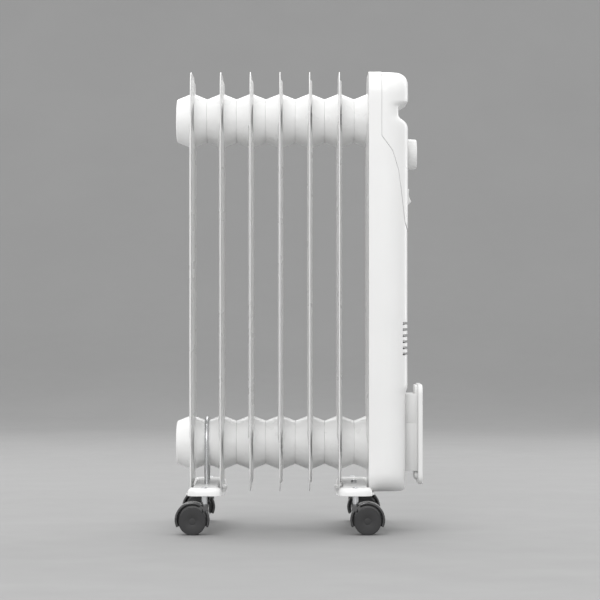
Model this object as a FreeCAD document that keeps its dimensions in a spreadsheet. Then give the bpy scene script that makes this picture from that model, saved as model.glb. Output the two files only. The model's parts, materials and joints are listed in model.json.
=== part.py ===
import FreeCAD, Part
import math
import os
import Sketcher

# Oil filled radiator heater: seven welded steel sections on four swivelling casters, with a moulded
# control housing and a cord winder at one end.  Millimetres, +Z up, origin on the floor under the middle.
# +X is the control end.  Left is the heater's own left, +Y.

VECTOR = FreeCAD.Vector

DIMENSIONS = [
    # alias, value, what it is
    ("pitch", 40.0, "spacing of the fin sections"),
    ("first_fin", -145.0, "X of the plain end's fin"),
    ("fin_bottom", 53.0, "lower edge of the fins"),
    ("fin_high", 566.0, "height of a fin"),
    ("fin_half", 73.0, "half the depth of a fin"),
    ("fin_corner", 30.0, "corner radius of a fin"),
    ("fin_thick", 1.3, "two welded plies"),
    ("fin_shift", -0.5, "middle of the plies from the section's centre"),
    ("covered_trim", 4.0, "how much shorter the covered last fin is at each end"),
    ("press_half", 43.0, "half the depth of the pressed zone"),
    ("press_top", 8.0, "plain edge above the pressed zone"),
    ("press_low", 8.6, "plain edge below the pressed zone"),
    ("press_thick", 3.55, "thickness across the pressed zone"),
    ("press_shift", 0.975, "middle of the pressed zone from the section's centre"),
    ("ply", 0.7, "one ply of sheet"),
    ("channel_half", 3.6, "half thickness over an oil channel"),
    ("channel_wide", 22.0, "width of an oil channel"),
    ("channel_step", 32.0, "spacing of the oil channels"),
    ("channel_slope", 4.0, "width of a channel's sloping side"),
    ("hub_low", 116.7, "height of the lower oil collector"),
    ("hub_high", 555.4, "height of the upper oil collector"),
    ("hub_wide", 37.6, "collector radius at a fin"),
    ("neck", 29.6, "collector radius where two sections are welded"),
    ("hub_wall", 1.6, "wall of the collectors"),
    ("cap_rim", 20.3, "length of the plain end's cone"),
    ("cap_long", 22.0, "length to the plain end's face"),
    ("cap_face", 28.0, "radius of the plain end's face"),
    ("bore_plate", 2.0, "bored plate at the control end of a collector"),
    ("element_hole", 20.0, "radius of the hole for the elements"),
    ("plug_hole", 6.0, "radius of the filler hole"),
    ("element_tube", 4.0, "radius of a heating tube"),
    ("element_step", 8.0, "heating tubes from the collector's axis"),
    ("element_bend", -135.0, "X of the centre of the tubes' return bends"),
    ("element_end", 121.0, "X where the heating tubes end"),
    ("pin_tube", 1.2, "radius of a heating tube's terminal pin"),
    ("pin_long", 9.0, "length of a terminal pin"),
    ("gasket_thick", 1.2, "element gasket"),
    ("flange_round", 27.0, "radius of the element flange"),
    ("flange_thick", 3.0, "element flange"),
    ("case_rear", 94.0, "X of the housing's open edge"),
    ("case_front", 146.4, "X of the housing's front"),
    ("case_step", 143.3, "X of the housing's recessed lower front"),
    ("case_half", 77.0, "half the depth of the housing"),
    ("case_bottom", 53.0, "lower edge of the housing"),
    ("case_top", 619.0, "top of the housing"),
    ("case_round", 30.0, "radius of the housing's upright front edges"),
    ("case_skirt", 26.0, "radius of the housing's bottom corners"),
    ("wall", 2.5, "wall of the plastic parts"),
    ("panel_proud", 0.75, "how far the panel stands in front of the housing"),
    ("panel_drop", 0.8, "how far the panel's top lies below the housing's"),
    ("seam", 0.35, "gap between the housing and the panel"),
    ("seam_x", 111.0, "X of the upright seam"),
    ("seam_high", 531, "height where the straight seam ends"),
    ("elbow_x", 126, "seam's upper bend"),
    ("elbow_z", 511, "seam's upper bend"),
    ("waist_x", 134.5, "seam's middle bend"),
    ("waist_z", 482, "seam's middle bend"),
    ("foot_x", 142.4, "seam's lower bend"),
    ("foot_z", 416, "seam's lower bend"),
    ("tip_x", 150, "lower end of the seam, past the front"),
    ("tip_z", 396, "lower end of the seam, past the front"),
    ("ledge_low", 185, "lower edge of the ledge above the winder"),
    ("ledge_high", 193, "upper edge of the ledge above the winder"),
    ("front_top", 549, "upper end of the front, below the grip"),
    ("grip_low", 557, "floor of the hand grip"),
    ("grip_deep", 133.7, "X of the bottom of the hand grip"),
    ("grip_top", 571.6, "upper inner edge of the hand grip"),
    ("grip_lip", 578.0, "upper outer edge of the hand grip"),
    ("vent_first", 279.5, "height of the top vent"),
    ("vent_step", 8.2, "spacing of the vents"),
    ("vent_high", 3.6, "height of a vent"),
    ("vent_half", 54.0, "half the length of a vent"),
    ("shield_x", 104.0, "X of the heat shield"),
    ("shield_thick", 0.8, "heat shield"),
    ("shield_half", 72.0, "half the depth of the heat shield"),
    ("shield_low", 60.0, "lower edge of the heat shield"),
    ("shield_top", 612.0, "upper edge of the heat shield"),
    ("shield_hole", 37.2, "radius of the shield's collector holes"),
    ("screw_y", 60.0, "housing screws from the middle"),
    ("screw_low", 92.0, "height of the lower housing screws"),
    ("screw_high", 594.0, "height of the upper housing screws"),
    ("screw_thin", 1.7, "radius of a housing screw"),
    ("screw_head", 3.6, "radius of a housing screw's head"),
    ("screw_long", 14.0, "length of a housing screw"),
    ("post_round", 4.2, "radius of a screw post"),
    ("knob_z", 510.0, "height of the thermostat knob"),
    ("knob_round", 20.5, "radius of the knob"),
    ("knob_rear", 148.0, "X of the knob's rear edge"),
    ("knob_front", 160.7, "X of the knob's face"),
    ("knob_edge", 1.6, "rounding of the knob's face"),
    ("knob_skin", 2.6, "wall of the knob"),
    ("spindle", 3.0, "radius of the thermostat spindle"),
    ("spindle_rear", 121.0, "X of the spindle's inner end"),
    ("spindle_front", 156.0, "X of the spindle's outer end"),
    ("running", 0.05, "radial clearance of the turning fits"),
    ("thermo_rear", 118.0, "X of the back of the thermostat"),
    ("thermo_front", 134.0, "X of the front of the thermostat"),
    ("thermo_wide", 26.0, "thermostat across"),
    ("thermo_high", 34.0, "thermostat height"),
    ("bush", 5.0, "radius of the thermostat's bush"),
    ("switch_y", 12.0, "rockers from the middle"),
    ("switch_z", 451.7, "height of the rockers' pivots"),
    ("pivot_x", 143.0, "X of the rockers' pivots"),
    ("rocker_wide", 12.0, "rocker across"),
    ("rocker_edge", 7.1, "rocker's crest in front of its pivot"),
    ("rocker_dip", 5.7, "rocker's middle in front of its pivot"),
    ("rocker_crest", 8.5, "rocker's crest above its pivot"),
    ("rocker_end", 13.0, "half the rocker's height"),
    ("rocker_tilt", 9.5, "rest tilt of a rocker, lower half out"),
    ("rocker_pin", 1.25, "radius of the rocker's pins"),
    ("slot_half", 13.8, "half the height of a rocker's opening"),
    ("slot_wide", 13.2, "width of a rocker's opening"),
    ("switch_rear", 127.0, "X of the back of a switch"),
    ("switch_wide", 17.0, "switch across"),
    ("switch_high", 31.0, "switch height"),
    ("lamp_z", 485.0, "height of the pilot lamp"),
    ("lamp_high", 7.4, "height of the lamp's lens"),
    ("lamp_wide", 14.0, "width of the lamp's lens"),
    ("lamp_front", 148.5, "X of the lamp's face"),
    ("lamp_rear", 134.0, "X of the back of the lamp"),
    ("gland_x", 110.0, "X of the cord gland"),
    ("gland_z", 84.0, "height of the cord gland"),
    ("gland_rim", 9.0, "radius of the gland's rim"),
    ("gland_body", 7.0, "radius of the gland's body"),
    ("gland_bore", 4.0, "radius of the gland's bore"),
    ("gland_in", 4.5, "how far the gland reaches inwards"),
    ("gland_out", 3.0, "how far the gland's rim stands out"),
    ("spool_half", 31.0, "half the width of the winder's spool"),
    ("spool_low", 79.0, "lower face of the spool"),
    ("spool_top", 184.0, "upper face of the spool"),
    ("spool_front", 161.0, "X where the spool meets its flange"),
    ("spool_corner", 7.0, "corner radius of the spool"),
    ("spool_seam", 144.0, "height of the spool's seam"),
    ("plate_front", 167.0, "X of the winder's face"),
    ("plate_half", 50.0, "half the width of the winder's flange"),
    ("plate_low", 62.3, "lower edge of the flange"),
    ("plate_top", 199.0, "upper edge of the flange"),
    ("plate_corner", 12.0, "corner radius of the flange"),
    ("lip_rear", 157.0, "X of the flange's lips"),
    ("lip_half", 26.0, "half the width of a lip"),
    ("lip_low", 67.5, "lower edge of the lower lip"),
    ("lip_top", 197.5, "upper edge of the upper lip"),
    ("winder_screw_low", 100.0, "height of the lower winder screw"),
    ("winder_screw_top", 163.0, "height of the upper winder screw"),
    ("deck", 62.0, "top of a caster bracket"),
    ("plate", 1.5, "sheet of a caster bracket"),
    ("deck_half", 16.5, "half the width of a bracket's deck between the fins"),
    ("deck_long", 124.0, "half the length of a bracket"),
    ("wing_top", 52.8, "top of a bracket's wings, where the fins stand"),
    ("wing_wide", 25.8, "wing's edge from the bracket's middle"),
    ("wing_long", 95.6, "half the length of a wing"),
    ("end_half", 22.75, "half the width of a bracket's ends"),
    ("end_start", 96.0, "where a bracket's ends begin"),
    ("end_corner", 8.0, "corner radius of a bracket's ends"),
    ("bracket_back", -125.0, "X of the back bracket"),
    ("bracket_front", 75.0, "X of the front bracket"),
    ("loop", 3.0, "radius of the U-bolt's rod"),
    ("loop_wide", 32.8, "U-bolt's legs from the middle"),
    ("loop_end", 52.4, "lower end of the U-bolt"),
    ("stem_y", 116.0, "caster stems from the middle"),
    ("stem", 3.0, "radius of a stem's pin"),
    ("stem_collar", 3.75, "radius of a stem's collar"),
    ("stem_step", 40.5, "height of the collar's lower end"),
    ("stem_low", 24.0, "height of the stem's lower end"),
    ("stem_head", 4.0, "radius of a stem's riveted head"),
    ("trail", 16.0, "wheel's axle behind the stem"),
    ("wheel", 18.1, "radius of a caster wheel"),
    ("wheel_inner", 5.4, "wheel's inner face from the caster's middle"),
    ("wheel_outer", 11.5, "wheel's outer face from the caster's middle"),
    ("wheel_edge", 1.2, "rounding of a wheel"),
    ("axle", 2.5, "radius of a caster's axle"),
    ("axle_half", 10.0, "half the length of an axle"),
    ("hood_round", 23.3, "outer radius of a hood"),
    ("hood_inner", 20.3, "inner radius of a hood"),
    ("hood_lift", 2.6, "hood's centre above the axle"),
    ("hood_half", 11.2, "half the width of a hood"),
    ("web_half", 4.8, "half the thickness of a hood's web"),
    ("hood_low", 11.5, "lower edge of a hood"),
    ("hood_notch", 10.8, "where the hood's notch begins"),
    ("hood_shelf", 31.5, "bottom of the hood's notch"),
    ("hood_top", 40.2, "top of the stem's boss"),
    ("boss", 5.8, "radius of the stem's boss"),
]

ALONG = {
    "X": FreeCAD.Rotation(VECTOR(0, 1, 0), 90),
    "Y": FreeCAD.Rotation(VECTOR(1, 0, 0), -90),
    "Z": FreeCAD.Rotation(),
}
FIN_COUNT = 7
VENT_COUNT = 6
SIDES = {"right": -1, "left": 1}
ENDS = {"back": -1, "front": 1}

doc = FreeCAD.newDocument("oil_heater")
dims = doc.addObject("Spreadsheet::Sheet", "dims")
for row, (alias, value, note) in enumerate(DIMENSIONS, start=1):
    dims.set("A%d" % row, alias)
    dims.set("B%d" % row, str(value))
    dims.set("C%d" % row, note)
    dims.setAlias("B%d" % row, alias)
doc.recompute()

nodes = []


# ---------------------------------------------------------------- helpers

def cell(expression):
    """The present value of an expression over the sheet."""
    return float(dims.evalExpression(expression))


def bind(obj, **sizes):
    for name, expression in sizes.items():
        obj.setExpression(name, expression)
    return obj


def place(obj, x="0", y="0", z="0", along="Z"):
    """Turn an object's own Z along a row axis and bind its base point."""
    obj.Placement = FreeCAD.Placement(VECTOR(), ALONG[along])
    obj.setExpression("Placement.Base.x", x)
    obj.setExpression("Placement.Base.y", y)
    obj.setExpression("Placement.Base.z", z)
    return obj


def block(name, x, y, z):
    """A box between the low and high ends given for each axis."""
    obj = doc.addObject("Part::Box", name)
    bind(obj, Length="(%s) - (%s)" % (x[1], x[0]))
    bind(obj, Width="(%s) - (%s)" % (y[1], y[0]))
    bind(obj, Height="(%s) - (%s)" % (z[1], z[0]))
    return place(obj, x[0], y[0], z[0])


def rod(name, radius, length, x, y, z, along="Z"):
    obj = doc.addObject("Part::Cylinder", name)
    bind(obj, Radius=radius, Height=length)
    return place(obj, x, y, z, along)


def cone(name, radius_start, radius_end, length, x, y, z, along="X"):
    obj = doc.addObject("Part::Cone", name)
    bind(obj, Radius1=radius_start, Radius2=radius_end, Height=length)
    return place(obj, x, y, z, along)


def hexagon(name, radius, length, x, y, z, along="Z"):
    obj = doc.addObject("Part::Prism", name)
    obj.Polygon = 6
    bind(obj, Circumradius=radius, Height=length)
    return place(obj, x, y, z, along)


def fuse(name, *shapes):
    obj = doc.addObject("Part::MultiFuse", name)
    obj.Shapes = list(shapes)
    obj.Refine = False
    return obj


def common(name, *shapes):
    obj = doc.addObject("Part::MultiCommon", name)
    obj.Shapes = list(shapes)
    return obj


def cut(name, base, *tools):
    obj = doc.addObject("Part::Cut", name)
    obj.Base = base
    obj.Tool = tools[0] if len(tools) == 1 else fuse(name + "_tools", *tools)
    return obj


def group(name, *shapes):
    """Several separate solids in one node."""
    obj = doc.addObject("Part::Compound", name)
    obj.Links = list(shapes)
    return obj


def soften(name, base, radius, chosen):
    """Round the edges of a solid that pass a test."""
    doc.recompute()
    value = cell(radius)
    obj = doc.addObject("Part::Fillet", name)
    obj.Base = base
    edges = enumerate(base.Shape.Edges, start=1)
    obj.Edges = [(number, value, value) for number, edge in edges if chosen(edge)]
    return obj


def node(obj, name):
    obj.Label = name
    nodes.append(obj)
    return obj


def outline(sketch, corners):
    """Closed outline through corners (u, v, radius), every one bound to the sheet.

    A construction point marks each corner.  The lines run through the marks, and a corner with a radius
    gets a tangent arc.
    """
    marks = [VECTOR(cell(u), cell(v), 0) for u, v, _ in corners]
    radii = [cell(radius) for _, _, radius in corners]
    count = len(corners)
    ends = []
    for number, mark in enumerate(marks):
        back = (marks[number - 1] - mark).normalize()
        ahead = (marks[(number + 1) % count] - mark).normalize()
        half_turn = back.getAngle(ahead) / 2
        reach = radii[number] / math.tan(half_turn)
        centre = mark + (back + ahead).normalize() * (radii[number] / math.sin(half_turn))
        ends.append((mark + back * reach, mark + ahead * reach, centre))
    lines = []
    for number in range(count):
        line = Part.LineSegment(ends[number][1], ends[(number + 1) % count][0])
        lines.append(sketch.addGeometry(line, False))
    for number, mark in enumerate(marks):
        before, after = lines[number - 1], lines[number]
        point = sketch.addGeometry(Part.Point(mark), True)
        if radii[number] > 0:
            start, end, centre = ends[number]
            leftward = (end - mark).cross(start - mark).z > 0
            tail, tip = (start, end) if leftward else (end, start)
            angles = [math.atan2(spot.y - centre.y, spot.x - centre.x) for spot in (tail, tip)]
            if angles[1] < angles[0]:
                angles[1] += 2 * math.pi
            circle = Part.Circle(centre, VECTOR(0, 0, 1), radii[number])
            arc = sketch.addGeometry(Part.ArcOfCircle(circle, angles[0], angles[1]), False)
            first = 1 if leftward else 2
            sketch.addConstraint(Sketcher.Constraint("Tangent", before, 2, arc, first))
            sketch.addConstraint(Sketcher.Constraint("Tangent", after, 1, arc, 3 - first))
            radius = sketch.addConstraint(Sketcher.Constraint("Radius", arc, radii[number]))
            sketch.setExpression("Constraints[%d]" % radius, corners[number][2])
        else:
            sketch.addConstraint(Sketcher.Constraint("Coincident", before, 2, after, 1))
        for line in (before, after):
            sketch.addConstraint(Sketcher.Constraint("PointOnObject", point, 1, line))
        for way, value, expression in (("DistanceX", mark.x, corners[number][0]),
                                       ("DistanceY", mark.y, corners[number][1])):
            distance = sketch.addConstraint(Sketcher.Constraint(way, -1, 1, point, 1, value))
            sketch.setExpression("Constraints[%d]" % distance, expression)


def pad(name, plane, corners, thickness, x="0", y="0", z="0"):
    """A body with one padded sketch, thickness split evenly about its plane."""
    body = doc.addObject("PartDesign::Body", name)
    sketch = body.newObject("Sketcher::SketchObject", name + "_sketch")
    role = plane + "_Plane"
    support = [feature for feature in body.Origin.OriginFeatures if feature.Role == role][0]
    sketch.AttachmentSupport = [(support, "")]
    sketch.MapMode = "FlatFace"
    outline(sketch, corners)
    feature = body.newObject("PartDesign::Pad", name + "_pad")
    feature.Profile = sketch
    feature.SideType = "Symmetric"
    bind(feature, Length=thickness)
    return place(body, x, y, z)


def rectangle(half, low, high, radius_low, radius_high=None):
    """Corners of an upright rectangle that is even about zero."""
    radius_high = radius_high or radius_low
    return [
        ("-(%s)" % half, low, radius_low),
        (half, low, radius_low),
        (half, high, radius_high),
        ("-(%s)" % half, high, radius_high),
    ]


def is_circle(edge):
    return isinstance(edge.Curve, Part.Circle)


# ---------------------------------------------------------------- radiator

def fin_section(number):
    """One hollow section: two welded plies with pressed oil channels between two conical collectors."""
    name = "fin_section_%d" % number
    first, last = number == 1, number == FIN_COUNT
    x = "dims.first_fin + %d * dims.pitch" % (number - 1)
    trim = "dims.covered_trim" if last else "0"
    low = "dims.fin_bottom + %s" % trim
    top = "dims.fin_bottom + dims.fin_high - %s" % trim
    plies = pad(name + "_plies", "YZ", rectangle("dims.fin_half", low, top, "dims.fin_corner"),
                "dims.fin_thick", x + " + dims.fin_shift")
    press_low, press_top = low + " + dims.press_low", top + " - dims.press_top"
    pressed = pad(name + "_pressed", "YZ",
                  rectangle("dims.press_half", press_low, press_top, "dims.channel_wide"),
                  "dims.press_thick", x + " + dims.press_shift")
    chamber = pad(name + "_chamber", "YZ",
                  rectangle("dims.press_half - 2 * dims.ply", press_low + " + 2 * dims.ply",
                            press_top + " - 2 * dims.ply", "dims.channel_wide - 2 * dims.ply"),
                  "dims.press_thick - 2 * dims.ply", x + " + dims.press_shift")
    outside, inside = [plies, pressed], [chamber]
    middle = "(dims.hub_low + dims.hub_high) / 2"
    for step in (-1, 0, 1):
        side = "dims.channel_wide / 2"
        flat = side + " - dims.channel_slope"
        bulge = [("0", "-(%s)" % side, "0"), ("dims.channel_half", "-(%s)" % flat, "2"),
                 ("dims.channel_half", flat, "2"), ("0", side, "0"),
                 ("-dims.channel_half", flat, "2"), ("-dims.channel_half", "-(%s)" % flat, "2")]
        y = "%d * dims.channel_step" % step
        outside.append(pad("%s_channel_%d" % (name, step + 2), "XY", bulge,
                           "dims.hub_high - dims.hub_low", x, y, middle))
        depth = "(dims.channel_half - dims.ply)"
        inside.append(block("%s_oilway_%d" % (name, step + 2),
                            ("%s - %s" % (x, depth), "%s + %s" % (x, depth)),
                            ("%s - (%s)" % (y, flat), "%s + %s" % (y, flat)),
                            ("dims.hub_low", "dims.hub_high")))
    for level in ("low", "high"):
        z = "dims.hub_" + level
        part = "%s_hub_%s" % (name, level)
        half = "dims.pitch / 2"
        outside.append(cone(part + "_front", "dims.hub_wide", "dims.neck", half, x, "0", z))
        inner_wide, inner_neck = "dims.hub_wide - dims.hub_wall", "dims.neck - dims.hub_wall"
        depth = half + " - dims.bore_plate" if last else half
        inside.append(cone(part + "_front_inside", inner_wide, inner_neck, depth, x, "0", z))
        if last:
            hole = "dims.element_hole" if level == "low" else "dims.plug_hole"
            inside.append(rod(part + "_hole", hole, "dims.pitch", x, "0", z, "X"))
        rear = "dims.cap_rim" if first else half
        outside.append(cone(part + "_rear", "dims.neck", "dims.hub_wide", rear,
                            "%s - %s" % (x, rear), "0", z))
        inside.append(cone(part + "_rear_inside", inner_neck, inner_wide, half,
                           "%s - %s" % (x, half), "0", z))
        if first:
            outside.append(cone(part + "_cap", "dims.cap_face", "dims.neck",
                                "dims.cap_long - dims.cap_rim", x + " - dims.cap_long", "0", z))
    node(cut(name, fuse(name + "_outside", *outside), *inside), name)


def heating_element(name, side):
    """A U of heating tube: two legs, a return bend and two terminal pins."""
    z = "dims.hub_low + %d * dims.element_step" % side
    bend = doc.addObject("Part::Torus", name + "_bend")
    bind(bend, Radius1="dims.element_step", Radius2="dims.element_tube")
    bend.Angle3 = 180
    bend.Placement.Rotation = FreeCAD.Rotation(VECTOR(0, 0, 1), 90)
    bend.setExpression("Placement.Base.x", "dims.element_bend")
    bend.setExpression("Placement.Base.z", z)
    parts = [bend]
    for leg in (-1, 1):
        y = "%d * dims.element_step" % leg
        parts.append(rod("%s_leg_%d" % (name, leg + 2), "dims.element_tube",
                         "dims.element_end - dims.element_bend", "dims.element_bend", y, z, "X"))
        parts.append(rod("%s_pin_%d" % (name, leg + 2), "dims.pin_tube", "dims.pin_long",
                         "dims.element_end", y, z, "X"))
    node(fuse(name, *parts), name)


def element_fittings():
    face = "dims.first_fin + %d * dims.pitch + dims.pitch / 2" % (FIN_COUNT - 1)
    ring = rod("gasket_ring", "dims.flange_round - 1", "dims.gasket_thick", face, "0", "dims.hub_low", "X")
    hole = rod("gasket_hole", "dims.element_hole", "dims.gasket_thick", face, "0", "dims.hub_low", "X")
    node(cut("element_gasket", ring, hole), "element_gasket")
    start = face + " + dims.gasket_thick"
    disc = rod("flange_disc", "dims.flange_round", "dims.flange_thick", start, "0", "dims.hub_low", "X")
    holes = []
    for across in (-1, 1):
        for up in (-1, 1):
            holes.append(rod("flange_hole_%d_%d" % (across + 2, up + 2), "dims.element_tube + dims.running",
                             "dims.flange_thick", start, "%d * dims.element_step" % across,
                             "dims.hub_low + %d * dims.element_step" % up, "X"))
    node(cut("element_flange", disc, *holes), "element_flange")
    thread = rod("plug_thread", "dims.plug_hole", "7", face + " - 7", "0", "dims.hub_high", "X")
    head = hexagon("plug_head", "10", "5", face, "0", "dims.hub_high", "X")
    node(fuse("filler_plug", thread, head), "filler_plug")


# ---------------------------------------------------------------- control housing

def housing_solid(name, inset, front, top, rear):
    """The housing's outer form, or its inside when inset by the wall: three outlines crossed."""
    half = "(dims.case_half - %s)" % inset
    low = "dims.case_bottom + %s" % inset
    ceiling = "%s - %s" % (top, inset)
    face = "%s - %s" % (front, inset)
    plan = pad(name + "_plan", "XY",
               [(rear, "-" + half, "0"), (face, "-" + half, "dims.case_round - %s" % inset),
                (face, half, "dims.case_round - %s" % inset), (rear, half, "0")],
               "2 * dims.fin_high", z="dims.case_bottom")
    view = pad(name + "_view", "YZ",
               rectangle(half, low, ceiling, "dims.case_skirt - %s" % inset, "dims.case_round - %s" % inset),
               "6 * dims.case_half")
    grip = "dims.grip_deep - %s" % inset
    side = pad(name + "_side", "XZ", [
        (rear, low, "0"),
        ("dims.case_step - %s" % inset, low, "5"),
        ("dims.case_step - %s" % inset, "dims.ledge_low", "6"),
        (face, "dims.ledge_high", "6"),
        (face, "dims.front_top - %s" % inset, "12"),
        (grip, "dims.grip_low - %s" % inset, "8"),
        (grip, "dims.grip_top + %s" % inset, "3"),
        (face, "dims.grip_lip + %s" % inset, "2.5"),
        (face, ceiling, "16 - %s" % inset),
        (rear, ceiling, "0"),
    ], "2 * %s" % half)
    return common(name, plan, view, side)


def panel_region(name, gap):
    """The region in side view that the upper front panel takes, pulled in by the seam's gap."""
    return pad(name, "XZ", [
        ("dims.seam_x + %s" % gap, "640", "0"),
        ("dims.seam_x + %s" % gap, "dims.seam_high", "9"),
        ("dims.elbow_x + %s" % gap, "dims.elbow_z", "25"),
        ("dims.waist_x + %s" % gap, "dims.waist_z", "25"),
        ("dims.foot_x + %s" % gap, "dims.foot_z", "4"),
        ("dims.tip_x + %s" % gap, "dims.tip_z", "0"),
        ("200", "dims.tip_z", "0"),
        ("200", "640", "0"),
    ], "4 * dims.case_half")


def posts(name, z, front):
    """Two hollow posts that take the housing's screws."""
    outer, holes = [], []
    start = "dims.shield_x + dims.shield_thick / 2"
    for side, sign in SIDES.items():
        y = "%d * dims.screw_y" % sign
        outer.append(rod("%s_%s" % (name, side), "dims.post_round", "%s - (%s)" % (front, start),
                         start, y, z, "X"))
        holes.append(rod("%s_%s_hole" % (name, side), "dims.screw_thin", "dims.screw_long",
                         start, y, z, "X"))
    return outer, holes


def main_housing():
    solid = housing_solid("housing_form", "0", "dims.case_front", "dims.case_top", "dims.case_rear")
    hollow = housing_solid("housing_hollow", "dims.wall", "dims.case_front", "dims.case_top",
                           "dims.case_rear - 20")
    tools = [hollow, panel_region("housing_upper_front", "0")]
    shell = cut("housing_shell", solid, *tools)
    post, hole = posts("housing_post", "dims.screw_low", "dims.case_front - 6.5")
    for number in range(VENT_COUNT):
        z = "dims.vent_first - %d * dims.vent_step" % number
        hole.append(block("vent_%d" % (number + 1), ("dims.case_front - 9", "dims.case_front + 9"),
                          ("-dims.vent_half", "dims.vent_half"),
                          (z + " - dims.vent_high / 2", z + " + dims.vent_high / 2")))
    hole.append(rod("gland_opening", "dims.gland_body", "20", "dims.gland_x", "dims.case_half - 10",
                    "dims.gland_z", "Y"))
    for level in ("low", "top"):
        hole.append(rod("winder_pilot_" + level, "1.9", "10", "dims.case_step - 5", "0",
                        "dims.winder_screw_" + level, "X"))
    node(cut("main_housing", fuse("housing_with_posts", shell, *post), *hole), "main_housing")


def control_panel():
    front = "(dims.case_front + dims.panel_proud)"
    top = "(dims.case_top - dims.panel_drop)"
    solid = housing_solid("panel_form", "0", front, top, "dims.case_rear")
    hollow = housing_solid("panel_hollow", "dims.wall", front, top, "dims.case_rear - 20")
    shell = common("panel_shell", cut("panel_skin", solid, hollow), panel_region("panel_area", "dims.seam"))
    post, hole = posts("panel_post", "dims.screw_high", "dims.case_front - 6.5")
    hole.append(rod("spindle_opening", "dims.spindle + 0.6", "40", "130", "0", "dims.knob_z", "X"))
    hole.append(block("lamp_opening", ("140", "155"), ("-dims.lamp_wide / 2", "dims.lamp_wide / 2"),
                      ("dims.lamp_z - dims.lamp_high / 2", "dims.lamp_z + dims.lamp_high / 2")))
    for side, sign in SIDES.items():
        y = "%d * dims.switch_y" % sign
        hole.append(block("rocker_opening_" + side, ("140", "155"),
                          (y + " - dims.slot_wide / 2", y + " + dims.slot_wide / 2"),
                          ("dims.switch_z - dims.slot_half", "dims.switch_z + dims.slot_half")))
    node(cut("control_panel", fuse("panel_with_posts", shell, *post), *hole), "control_panel")


def heat_shield():
    sheet = pad("shield_sheet", "YZ",
                rectangle("dims.shield_half", "dims.shield_low", "dims.shield_top", "dims.case_skirt"),
                "dims.shield_thick", "dims.shield_x")
    holes = []
    for level in ("low", "high"):
        holes.append(rod("shield_hub_" + level, "dims.shield_hole", "10", "dims.shield_x - 5", "0",
                         "dims.hub_" + level, "X"))
        for side, sign in SIDES.items():
            holes.append(rod("shield_screw_%s_%s" % (level, side), "dims.screw_thin + 0.2", "10",
                             "dims.shield_x - 5", "%d * dims.screw_y" % sign, "dims.screw_" + level, "X"))
    node(cut("heat_shield", sheet, *holes), "heat_shield")


def housing_screws():
    screws = []
    start = "dims.shield_x - dims.shield_thick / 2"
    for level in ("low", "high"):
        for side, sign in SIDES.items():
            name = "housing_screw_%s_%s" % (level, side)
            y, z = "%d * dims.screw_y" % sign, "dims.screw_" + level
            head = cone(name + "_head", "dims.screw_head - 1", "dims.screw_head", "2.4",
                        start + " - 2.4", y, z)
            shank = rod(name + "_shank", "dims.screw_thin", "dims.screw_long", start, y, z, "X")
            screws.append(fuse(name, head, shank))
    node(group("housing_screws", *screws), "housing_screws")


# ---------------------------------------------------------------- controls

def thermostat():
    """The thermostat, its spindle and the knob pressed onto it."""
    high = "dims.thermo_high / 2"
    case = block("thermostat_case", ("dims.thermo_rear", "dims.thermo_front"),
                 ("-dims.thermo_wide / 2", "dims.thermo_wide / 2"),
                 ("dims.knob_z - " + high, "dims.knob_z + " + high))
    panel_back = "dims.case_front + dims.panel_proud - dims.wall"
    bush = rod("thermostat_bush", "dims.bush", "%s - dims.thermo_front" % panel_back,
               "dims.thermo_front", "0", "dims.knob_z", "X")
    tabs = []
    for number, y in enumerate(("-8", "0", "8"), start=1):
        tabs.append(block("thermostat_tab_%d" % number, ("dims.thermo_rear - 6", "dims.thermo_rear"),
                          (y + " - 0.4", y + " + 0.4"), ("dims.knob_z - 3.15", "dims.knob_z + 3.15")))
    bore = rod("thermostat_bore", "dims.spindle + dims.running", "40", "dims.spindle_rear - 0.4",
               "0", "dims.knob_z", "X")
    node(cut("thermostat", fuse("thermostat_blank", case, bush, *tabs), bore), "thermostat")

    round_bar = rod("spindle_bar", "dims.spindle", "dims.spindle_front - dims.spindle_rear",
                    "dims.spindle_rear", "0", "dims.knob_z", "X")
    flat = block("spindle_flat", ("dims.knob_rear", "dims.spindle_front + 5"), ("-5", "5"),
                 ("dims.knob_z + 2.2", "dims.knob_z + 5"))
    spindle = node(cut("thermostat_spindle", round_bar, flat), "thermostat_spindle")

    drum = rod("knob_drum", "dims.knob_round", "dims.knob_front - dims.knob_rear", "dims.knob_rear",
               "0", "dims.knob_z", "X")
    front = cell("dims.knob_front")
    drum = soften("knob_rounded", drum, "dims.knob_edge",
                  lambda edge: is_circle(edge) and abs(edge.CenterOfMass.x - front) < 0.01)
    inside = rod("knob_inside", "dims.knob_round - dims.knob_skin",
                 "dims.knob_front - dims.knob_rear - dims.knob_skin", "dims.knob_rear",
                 "0", "dims.knob_z", "X")
    hub = rod("knob_hub", "2 * dims.spindle", "dims.knob_front - dims.knob_rear - 1", "dims.knob_rear",
              "0", "dims.knob_z", "X")
    pointer = block("knob_pointer", ("dims.knob_front - 0.8", "dims.knob_front + 1"), ("-0.8", "0.8"),
                    ("dims.knob_z + 7", "dims.knob_z + 17.5"))
    cup = cut("knob_cup", drum, inside, pointer)
    node(cut("thermostat_knob", fuse("knob_blank", cup, hub), spindle), "thermostat_knob")


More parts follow.
